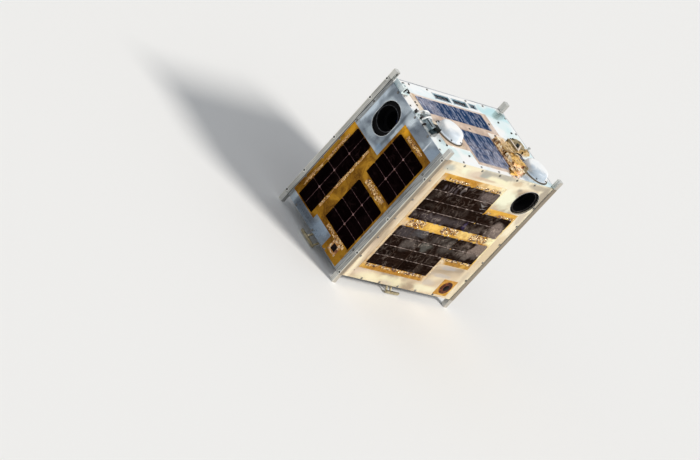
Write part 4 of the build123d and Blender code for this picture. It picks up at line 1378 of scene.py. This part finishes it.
# Wires laid on the left face's film: points across and up
leftWires = [
    [(-137, 92), (-136, 130), (-138, 180), (-135, 235), (-137, 280), (-136, 311)],
    [(-143, 100), (-141, 125), (-143, 150), (-138, 168), (-136, 200), (-139, 260), (-139, 305)],
    [(-45, 100), (-46, 150), (-43, 205), (-45, 260), (-43, 300), (-45, 331)],
    [(-39, 104), (-40, 160), (-49, 178), (-50, 205), (-48, 228), (-40, 246), (-41, 330)],
    [(32, 463), (36, 471), (60, 472), (92, 471), (104, 463), (96, 456), (60, 455), (38, 457), (32, 463)],
    [(28, 91), (34, 86), (52, 85), (70, 88), (80, 92), (94, 86)],
    [(144, 64), (144.5, 78), (144, 95)],
]


wireLay = {"radius": 0.55, "above": 1.0}


def makeWires():
    bm = bmesh.new()
    out = filmTop + wireLay["above"]
    paths = [[onFace("left", across, up, out).translation for across, up in wire] for wire in leftWires]
    tubes(bm, paths, wireLay["radius"])
    newPiece("filmWires", bm, paints["wireTan"], 60)


makeWires()
print("satellite: tape and wires ready")

# Sun sensors: glass in the head's well, and screws on the flange
squareSensors = {"left": (98.0, 67.0, 0.5), "rear": (222.0, 69.0, 0.0), "right": (126.0, 52.0, 0.0)}
squareLook = {"glass": (20.6, 20.6, 0.6, 0.25, 2), "glassLevel": 1.7, "screws": 16.4, "screwLevel": 0.8,
              "screw": [(0, 0), (1.7, 0), (1.7, 0.6), (1.3, 0.9), (0, 0.9)]}
roundSensor = {"place": (198.0, 71.0), "glass": [(0, 0), (11.6, 0), (11.6, 0.4), (11.0, 0.65), (0, 0.7)],
               "glassLevel": 1.7, "screws": 20.5, "count": 8, "turn": 0.2, "screwLevel": 1.2,
               "screw": [(0, 0), (2.3, 0), (2.3, 0.7), (1.7, 1.2), (0, 1.2)]}


def makeSensors():
    look = squareLook
    wells = [onFace(face, across, up, look["glassLevel"])
             for face, (across, up, lift) in squareSensors.items()]
    stampedPiece("sensorGlassSquare", blockShape(*look["glass"]), wells, paints["sensorGlass"])
    spots = []
    reach = look["screws"]
    corners = [(a, u) for a in (-reach, reach) for u in (-reach, reach)]
    for face, (across, up, lift) in squareSensors.items():
        spots += [onFace(face, across + a, up + u, lift + look["screwLevel"]) for a, u in corners]
    stampedPiece("sensorScrewsSquare", latheShape(look["screw"], 12), spots, metals["screwSteel"])
    look = roundSensor
    across, up = look["place"]
    glass = latheShape(look["glass"], 40)
    place = onFace("front", across, up, look["glassLevel"])
    stampedPiece("sensorGlassRound", glass, [place], paints["sensorGlass"])
    spots = []
    for step in range(look["count"]):
        angle = step * math.tau / look["count"] + look["turn"]
        aside = look["screws"] * math.cos(angle)
        above = look["screws"] * math.sin(angle)
        spots.append(onFace("front", across + aside, up + above, look["screwLevel"]))
    stampedPiece("sensorScrewsRound", latheShape(look["screw"], 14), spots, metals["screwBlack"])


makeSensors()

# Star trackers: a satin ring round the mouth, a bright bead round the window and a domed front glass
trackers = {
    "left": {"place": (-77.0, 438.0), "size": (84.0, 116.0), "ring": metals["ringGrey"]},
    "front": {"place": (195.5, 444.5), "size": (102.0, 92.0), "ring": metals["screwBlack"]},
}
trackerRing = {"out": -5.0, "steps": 72,
               "profile": [(39.3, -0.2), (41.3, -0.2), (41.3, 0.5), (41.0, 0.8), (39.6, 0.8), (39.3, 0.5)]}
trackerGlass = {"out": -69.3, "steps": 48,
                "profile": [(0, 0), (20, 0), (20, 0.3), (17, 0.7), (12, 1.0), (6, 1.15), (0, 1.2)]}
# the bead's profile is counted from the window's edge
windowBead = {"steps": 96, "profile": [(-0.15, -1.0), (0.9, -0.4), (0.9, 0.1), (0.4, 0.25), (-0.15, 0.1)]}


def makeTracker(face, look):
    across, up = look["place"]
    ring = latheShape(trackerRing["profile"], trackerRing["steps"], True)
    place = onFace(face, across, up, trackerRing["out"])
    stampedPiece("trackerRing_" + face, ring, [place], look["ring"])
    wide, tall = look["size"]
    radius = min(wide, tall) / 2
    profile = [(radius + aside, out) for aside, out in windowBead["profile"]]
    bead = latheShape(profile, windowBead["steps"], True)
    # half a step of turn, so that no point lies on the line where the bead is drawn apart
    halfStep = Matrix.Rotation(math.pi / windowBead["steps"], 3, "Z")
    bmesh.ops.rotate(bead, verts=bead.verts, cent=(0, 0, 0), matrix=halfStep)
    stretch = abs(tall - wide) / 2 * mm
    for vert in bead.verts:
        if tall > wide:
            vert.co.y += math.copysign(stretch, vert.co.y)
        else:
            vert.co.x += math.copysign(stretch, vert.co.x)
    stampedPiece("windowBead_" + face, bead, [onFace(face, across, up)], metals["rimBright"])
    glass = latheShape(trackerGlass["profile"], trackerGlass["steps"])
    place = onFace(face, across, up, trackerGlass["out"])
    stampedPiece("trackerGlass_" + face, glass, [place], lensGlass, 60)


for face, look in trackers.items():
    makeTracker(face, look)
print("satellite: sensors and trackers ready")

# Dome antennas: the part's form with rounded edges, six screws on the ledge, and below a dark ring: a sealing
# line widened into the painted shadow round the dome's foot
domes = {"antenna_dome_left": (-149.0, -37.0, 0.5), "antenna_dome_right": (208.0, -112.0, 0.0)}
domeProfile = [(0, 0), (47.6, 0), (48, 0.4), (48, 4.4), (47.4, 5.0), (42.8, 5.0), (42.1, 5.6), (42.0, 7.0),
               (42.0, 13.4), (41.6, 15.2), (40.9, 17.0), (38.9, 21.0), (37.9, 22.4), (36.2, 23.4),
               (33.4, 24.6), (31.0, 25.0), (16.0, 25.0), (0, 25.0)]
domeScrews = {"count": 6, "radius": 45.2, "lift": 4.9,
              "profile": [(0, 0), (2.7, 0), (2.7, 1.2), (2.2, 1.8), (1.2, 1.9), (1.2, 1.0), (0, 1.0)]}
# dark ring round the foot: a seal line widened to stand for the painted shadow round the dome
domeSealShadow = [(46.5, -0.3), (52.6, -0.3), (52.4, 1.2), (49.4, 2.4), (46.5, 2.4)]


def makeDome(node, across, up, lift):
    place = onFace("top", across, up, lift)
    shape = latheShape(domeProfile, 96)
    dome = stampedPiece("dome_" + node, shape, [place], paints["domeWhite"], 28)
    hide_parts(node)
    spots = []
    for step in range(domeScrews["count"]):
        angle = step * math.tau / domeScrews["count"]
        aside = domeScrews["radius"] * math.cos(angle)
        above = domeScrews["radius"] * math.sin(angle)
        spots.append(onFace("top", across + aside, up + above, lift + domeScrews["lift"]))
    head = latheShape(domeScrews["profile"], 14)
    stampedPiece("domeScrews_" + node, head, spots, metals["screwBlack"])
    sealShadow = latheShape(domeSealShadow, 72, True)
    stampedPiece("domeSealShadow_" + node, sealShadow, [place], paints["sealShadowBrown"])


for node, (across, up, lift) in domes.items():
    makeDome(node, across, up, lift)

# Foil-wrapped units, and loose folds on the deck round them. Each row has its middle across and up, width,
# depth, height and turn, and the foils of its top, left and front, picked partly to paint each side's light
# and shade
foilKinds = {"gold": foils["goldFoil"], "cream": foils["creamFoil"], "tan": foils["tanFoil"],
             "olive": foils["oliveFoil"], "pink": foils["pinkFoil"]}
longUnit = [(106, -18, 34, 28, 17, 0, "cream", "cream", "cream"),
            (106, -50, 34, 40, 18, 0, "tan", "cream", "gold"),
            (106, -98, 34, 48, 18, -3, "gold", "cream", "pink"),
            (104, -134, 30, 28, 14, 5, "cream", "cream", "pink"),
            (136, -93, 32, 44, 15, 0, "gold", "gold", "pink")]
longFolds = [(137, -36, 32, 46, 13, 10, "tan", "tan", "olive"),
             (86, -48, 12, 56, 5, 2, "cream", "pink", "pink"),
             (86, -104, 12, 50, 6, -3, "cream", "pink", "gold"),
             (80, -138, 24, 18, 8, 10, "cream", "gold", "gold"),
             (76, -150, 30, 10, 3, 0, "gold", "gold", "gold"),
             (70, -124, 14, 22, 1.5, 0, "olive", "olive", "olive")]
shortUnit = [(184, -12, 30, 44, 11, 4, "olive", "olive", "tan"),
             (211, -8, 34, 48, 12, -5, "olive", "olive", "tan")]
shortFolds = [(172, -22, 22, 26, 7, 12, "tan", "tan", "tan"),
              (228, 6, 30, 44, 5, -10, "olive", "olive", "olive"),
              (228, -26, 36, 20, 8, 6, "tan", "olive", "tan")]
frontLumps = [(148, -124, 46, 12, 11, 38, "olive", "gold", "olive"),
              (128, -124, 26, 12, 8, 20, "pink", "pink", "pink")]


def makeFoil(name, rows, cell, layers, push, flare, seed):
    bm = bmesh.new()
    marked = 0
    kinds = list(foilKinds)
    for index, (across, up, width, depth, height, turn, top, left, front) in enumerate(rows):
        place = onFace("top", across, up, 0, turn)
        crumple(bm, place, (width, depth, height), cell, layers, push, flare, seed + index)
        bm.normal_update()
        bm.faces.ensure_lookup_table()
        middle = Vector((across, up)) * mm
        for face in bm.faces[marked:]:
            away = face.calc_center_median().xy - middle
            steep = abs(face.normal.z) < 0.6
            toLeft = away.x / width < away.y / depth
            kind = (left if toLeft else front) if steep else top
            face.material_index = kinds.index(kind)
        marked = len(bm.faces)
    piece = newPiece(name, bm, foilKinds[kinds[0]], facets=True)
    for kind in kinds[1:]:
        piece.data.materials.append(foilKinds[kind])
    return piece


longWrap = makeFoil("foilWrapLong", longUnit, 10.0, 2, 2.6, 3.0, 11)
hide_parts("foil_unit_long")
shortWrap = makeFoil("foilWrapShort", shortUnit, 13.0, 1, 2.4, 3.0, 31)
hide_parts("foil_unit_short")
makeFoil("foilFoldsLong", longFolds, 9.0, 1, 2.4, 3.0, 51)
makeFoil("foilFoldsShort", shortFolds, 12.0, 1, 2.2, 3.0, 71)
makeFoil("foilLumps", frontLumps, 9.0, 1, 2.0, 2.0, 91)


# Straps over the short unit with its open end between them, and the connector and cable beside it
unitBlocks = {
    "connector": [((20, 14, 9, 1.0, 2), (172, -72, 0, 32))],
    "straps": [((5, 50, 1.6, 0.4, 2), (173, -18, 12.4, 2)),
               ((48, 5, 1.6, 0.4, 2), (193, -26, 13.0, 38)),
               ((40, 6, 1.4, 0.4, 2), (200, -45, 0, 26))],
    "opening": [((24, 9, 3, 0.6, 2), (193, -15, 11.6, 38))],
}
unitCable = {"path": [(164, -48, 3), (170, -46, 7), (180, -52, 8), (186, -64, 6), (184, -76, 2)],
             "radius": 2.2}


def makeUnitFittings():
    blocksPiece("unitConnector", unitBlocks["connector"], paints["glueDeck"])
    blocksPiece("unitStraps", unitBlocks["straps"], paints["strapBeige"])
    blocksPiece("unitOpening", unitBlocks["opening"], paints["connectorBlack"])
    bm = bmesh.new()
    tubes(bm, [[onFace("top", *point).translation for point in unitCable["path"]]], unitCable["radius"])
    newPiece("unitCable", bm, metals["screwBlack"], 60)


makeUnitFittings()
print("satellite: domes and foil ready")

# Cable connector: ribs, a tan cap, a dark skirt, a boot, an edge, posts, a ring nut, cable loops and clips
connectorBlocks = {
    "ribs": [((18, 2.6, 1.6, 0.5, 2), (-239, up, 13.6)) for up in (-45, -40, -35, -30, -25, -20)],
    "cap": [((18, 14, 1.0, 0.4, 2), (-219.6, -23, 13.7))],
    "skirt": [((27, 24, 15.0, 1.6, 2), (-224.4, -42))],
    "boot": [((32, 15, 7, 2.0, 3), (-242, -56, 0, 24))],
    "edge": [((3.4, 33, 2.4, 0.5, 2), (-246.4, -32, 12.8))],
}
connectorPosts = {"places": [(-218, 16), (-257, 30)],
                  "profile": [(0, 0), (2.3, 0), (2.3, 8.4), (1.8, 9.0), (0, 9.0)]}
connectorNut = {"place": (-229, -14, 8),
                "profile": [(6.1, 0), (9.0, 0), (9.4, 0.6), (9.4, 5.4), (9.0, 6), (6.1, 6)]}
cableRadius = 3.0
cableLoops = [
    [(-252, 24, 2), (-246, 22, 10), (-232, 20, 20), (-216, 16, 17), (-205, 10, 6), (-202, 6, 2)],
    [(-253, -6, 2), (-247, -5, 9), (-236, -4, 17), (-222, -3, 16), (-212, -4, 8), (-208, -6, 2)],
]
cableClips = {"places": [(-256, 24, 0, 20), (-208, 32, 0, 50), (-250, 1, 0, 25), (-262, -30, 0, 10),
                         (-212, 26, 0, 60)],
              "path": [(-6, 0, 0.5), (-6, 0, 6), (0, 0, 9), (6, 0, 6), (6, 0, 0.5)], "radius": 2.3}
clampScrews = [(-247.5, 12, 2.8), (-210.5, 12, 2.8)]


def makeConnector():
    blocksPiece("connectorRibs", connectorBlocks["ribs"], metals["ribGrey"])
    blocksPiece("connectorCap", connectorBlocks["cap"], paints["capTan"])
    blocksPiece("connectorSkirt", connectorBlocks["skirt"], paints["connectorBlack"])
    blocksPiece("connectorBoot", connectorBlocks["boot"], paints["bootTeal"])
    blocksPiece("connectorEdge", connectorBlocks["edge"], paints["connectorBlack"])
    posts = [onFace("top", *place) for place in connectorPosts["places"]]
    stampedPiece("connectorPosts", latheShape(connectorPosts["profile"], 14), posts, metals["screwBlack"])
    turned = onFace("top", *connectorNut["place"]) @ Matrix.Rotation(math.radians(-90), 4, "X")
    nut = latheShape(connectorNut["profile"], 8, True)
    stampedPiece("connectorNut", nut, [turned], metals["clampMetal"], 20)
    bm = bmesh.new()
    tubes(bm, [[onFace("top", *point).translation for point in loop] for loop in cableLoops], cableRadius)
    newPiece("cableLoops", bm, paints["cableWhite"], 60)
    hooksPiece("cableClips", cableClips)
    feet = [onFace("top", *place) for place in clampScrews]
    stampedPiece("clampScrews", latheShape(headProfile, 16), feet, metals["screwBlack"])


makeConnector()

# Corner bracket: screws on its base, dark hooks and clips over it, and a plug in its boss
cornerScrews = {"places": [(-233, 108), (-233, 146), (-256, 108), (-256, 146), (-231, 127)], "lift": 2.8,
                "profile": [(0, 0), (4.2, 0), (4.2, 4.4), (3.4, 5.4), (1.8, 5.5), (1.8, 4.2), (0, 4.2)]}
cornerHooks = {"places": [(-236, 142, 2.8, 40), (-238, 112, 2.8, -35), (-258, 128, 2.8, 80)],
               "path": [(-5, 0, 0), (-5, 0, 6), (0, 0, 9), (5, 0, 6), (5, 0, 0)], "radius": 1.9}
bossPlug = {"place": (-244, 127, 3.2), "profile": [(0, 0), (3.9, 0), (3.9, 5.0), (0, 5.4)]}


def makeCorner():
    screws = [onFace("top", across, up, cornerScrews["lift"]) for across, up in cornerScrews["places"]]
    stampedPiece("cornerScrews", latheShape(cornerScrews["profile"], 12), screws, metals["screwBlack"])
    hooksPiece("cornerHooks", cornerHooks)
    plug = latheShape(bossPlug["profile"], 20)
    place = onFace("top", *bossPlug["place"])
    stampedPiece("bossPlug", plug, [place], metals["screwBlack"])


makeCorner()

# Dark plunger hole in the side of a rail tip: a dark disc of painted shade where the hole is
tipHole = {"place": (-266.5, 158, 541), "profile": [(0, 0), (3.0, 0), (3.0, 0.2), (2.6, 0.35), (0, 0.35)]}
turnedHole = Matrix.Translation(Vector(tipHole["place"]) * mm) @ Matrix.Rotation(math.radians(90), 4, "X")
stampedPiece("tipHoles", latheShape(tipHole["profile"], 16), [turnedHole], metals["screwBlack"])

# Test connectors: a bright frame and a plate round each well, rows of contacts and a jack post at each end
wells = [(-85.0, 126.0, -7.0, 152.0), (5.0, 126.0, 78.0, 152.0), (90.0, 131.0, 124.0, 152.0)]
wellFrame = {"width": 1.5, "height": 0.7}
wellPlate = {"opening": 17.0, "end": 5.0, "level": -0.9, "height": 0.8, "free": 0.4, "overlap": 0.2}
wellPins = {"pitch": 2.6, "aside": 3.3, "free": 13.0, "level": -4.1,
            "profile": [(0, 0), (0.5, 0), (0.5, 2.2), (0.25, 2.5), (0, 2.5)]}
jackPosts = {"fromEnd": 4.2, "level": -4.0,
             "profile": [(0, 0), (2.6, 0), (2.6, 3.2), (1.2, 3.4), (1.2, 1.6), (0, 1.6)]}


def makeWells():
    frames = bmesh.new()
    plates = bmesh.new()
    pins = []
    posts = []
    for left, bottom, right, top in wells:
        wide = right - left
        tall = top - bottom
        across = (left + right) / 2
        up = (bottom + top) / 2
        count = round((wide / 2 - wellPins["free"]) / wellPins["pitch"])
        for side in (-1, 1):
            width, height = wellFrame["width"], wellFrame["height"]
            long = blockShape(wide + 2 * width, width, height)
            stamp(frames, long, [onFace("top", across, up + side * (tall + width) / 2)])
            short = blockShape(width, tall, height)
            stamp(frames, short, [onFace("top", across + side * (wide + width) / 2, up)])
            depth = (tall - wellPlate["opening"]) / 2
            long = blockShape(wide - wellPlate["free"], depth, wellPlate["height"])
            stamp(plates, long, [onFace("top", across, up + side * (tall - depth) / 2, wellPlate["level"])])
            edge = across + side * (wide - wellPlate["end"]) / 2
            between = tall - 2 * depth + wellPlate["overlap"]
            short = blockShape(wellPlate["end"], between, wellPlate["height"])
            stamp(plates, short, [onFace("top", edge, up, wellPlate["level"])])
            end = across + side * (wide / 2 - jackPosts["fromEnd"])
            posts.append(onFace("top", end, up, jackPosts["level"]))
            pins += [onFace("top", across + step * wellPins["pitch"], up + side * wellPins["aside"],
                            wellPins["level"]) for step in range(-count, count + 1)]
    newPiece("wellFrames", frames, metals["rimBright"], 30)
    newPiece("wellPlates", plates, paints["wellCover"], 30)
    stampedPiece("wellPins", latheShape(wellPins["profile"], 8), pins, metals["starLeft"])
    post = latheShape(jackPosts["profile"], 6)
    stampedPiece("jackPosts", post, posts, metals["clampMetal"], 20)


makeWells()

# Patch antennas below: feed pin and corner screws. Edge brackets: screws under each foot
brackets = {
    "front": {"turn": 0, "distance": 175.0, "struts": (-22.0, -3.0)},
    "right": {"turn": 90, "distance": 275.0, "struts": (-6.0, 32.0)},
    "rear": {"turn": 180, "distance": 175.0, "struts": (-22.0, -3.0)},
    "left": {"turn": 270, "distance": 275.0, "struts": (-6.0, 32.0)},
}
footPlace = {"inset": 38.0, "low": 29.1, "beside": 9.0}
patchPins = {"places": (-189, 201), "up": 5, "level": 6.9,
             "profile": [(0, 0), (1.6, 0), (1.5, 0.5), (0.8, 0.8), (0, 0.8)]}
patchScrews = {"middles": (-195, 195), "aside": (-15, 15), "level": 6.8,
               "profile": [(0, 0), (2, 0), (2, 0.6), (1.5, 1), (0, 1)]}


def makeUnderside():
    pins = [onFace("bottom", across, patchPins["up"], patchPins["level"]) for across in patchPins["places"]]
    pin = latheShape(patchPins["profile"], 12)
    stampedPiece("patchPins", pin, pins, metals["pinAndGlintBright"])
    spots = [onFace("bottom", middle + across, up, patchScrews["level"]) for middle in patchScrews["middles"]
             for across in patchScrews["aside"] for up in patchScrews["aside"]]
    stampedPiece("patchScrews", latheShape(patchScrews["profile"], 12), spots, metals["screwSteel"])
    feet = []
    for look in brackets.values():
        turned = Matrix.Rotation(math.radians(look["turn"]), 4, "Z")
        first, last = look["struts"]
        for across in (first - footPlace["beside"], last + footPlace["beside"]):
            shift = Vector((across, footPlace["inset"] - look["distance"], footPlace["low"])) * mm
            feet.append(turned @ Matrix.Translation(shift) @ Matrix.Rotation(math.pi, 4, "X"))
    stampedPiece("bracketScrews", latheShape(headProfile, 16), feet, metals["screwSteel"])


makeUnderside()
print("satellite: fittings ready")

# Plain pale floor and soft studio light
studio = {
    "floorColour": (0.86, 0.87, 0.88),
    "floorSide": 120.0,
    "skyColour": (0.96, 0.98, 1.0),
    "skyLight": 0.46,
    "skySeen": 0.95,
    "sunFrom": (0.35, -0.75, 0.8),
    "sunStrength": 2.5,
    "sunAngle": 14.0,
    "sunColour": (1.0, 0.95, 0.88),
}


def makeFloor():
    bm = bmesh.new()
    bmesh.ops.create_grid(bm, x_segments=1, y_segments=1, size=studio["floorSide"] / 2)
    mesh = bpy.data.meshes.new("studioFloor")
    bm.to_mesh(mesh)
    bm.free()
    floor = bpy.data.objects.new("studioFloor", mesh)
    scene.collection.objects.link(floor)
    material, tree, shader, place = newMaterial("floorPaper")
    setShader(tree, shader, {
        "Base Color": studio["floorColour"], "Roughness": 0.9, "Specular IOR Level": 0.1})
    mesh.materials.append(material)


def makeLight():
    world = bpy.data.worlds.new("studioSky")
    scene.world = world
    world.use_nodes = True
    tree = world.node_tree
    background = tree.nodes["Background"]
    background.inputs["Color"].default_value = (*studio["skyColour"], 1.0)
    path = addNode(tree, "ShaderNodeLightPath")
    seen = math1(tree, "MAXIMUM", path.outputs["Is Camera Ray"], path.outputs["Is Glossy Ray"])
    seen = math1(tree, "MAXIMUM", seen, path.outputs["Is Transmission Ray"])
    strength = addNode(tree, "ShaderNodeMapRange", {
        "Value": seen, "To Min": studio["skyLight"], "To Max": studio["skySeen"]}).outputs[0]
    tree.links.new(strength, background.inputs["Strength"])
    lamp = bpy.data.lights.new("studioKey", "SUN")
    lamp.energy = studio["sunStrength"]
    lamp.angle = math.radians(studio["sunAngle"])
    lamp.color = studio["sunColour"]
    key = bpy.data.objects.new("studioKey", lamp)
    key.rotation_mode = "QUATERNION"
    key.rotation_quaternion = Vector(studio["sunFrom"]).to_track_quat("Z", "Y")
    scene.collection.objects.link(key)


makeFloor()
makeLight()
print("satellite: studio ready")
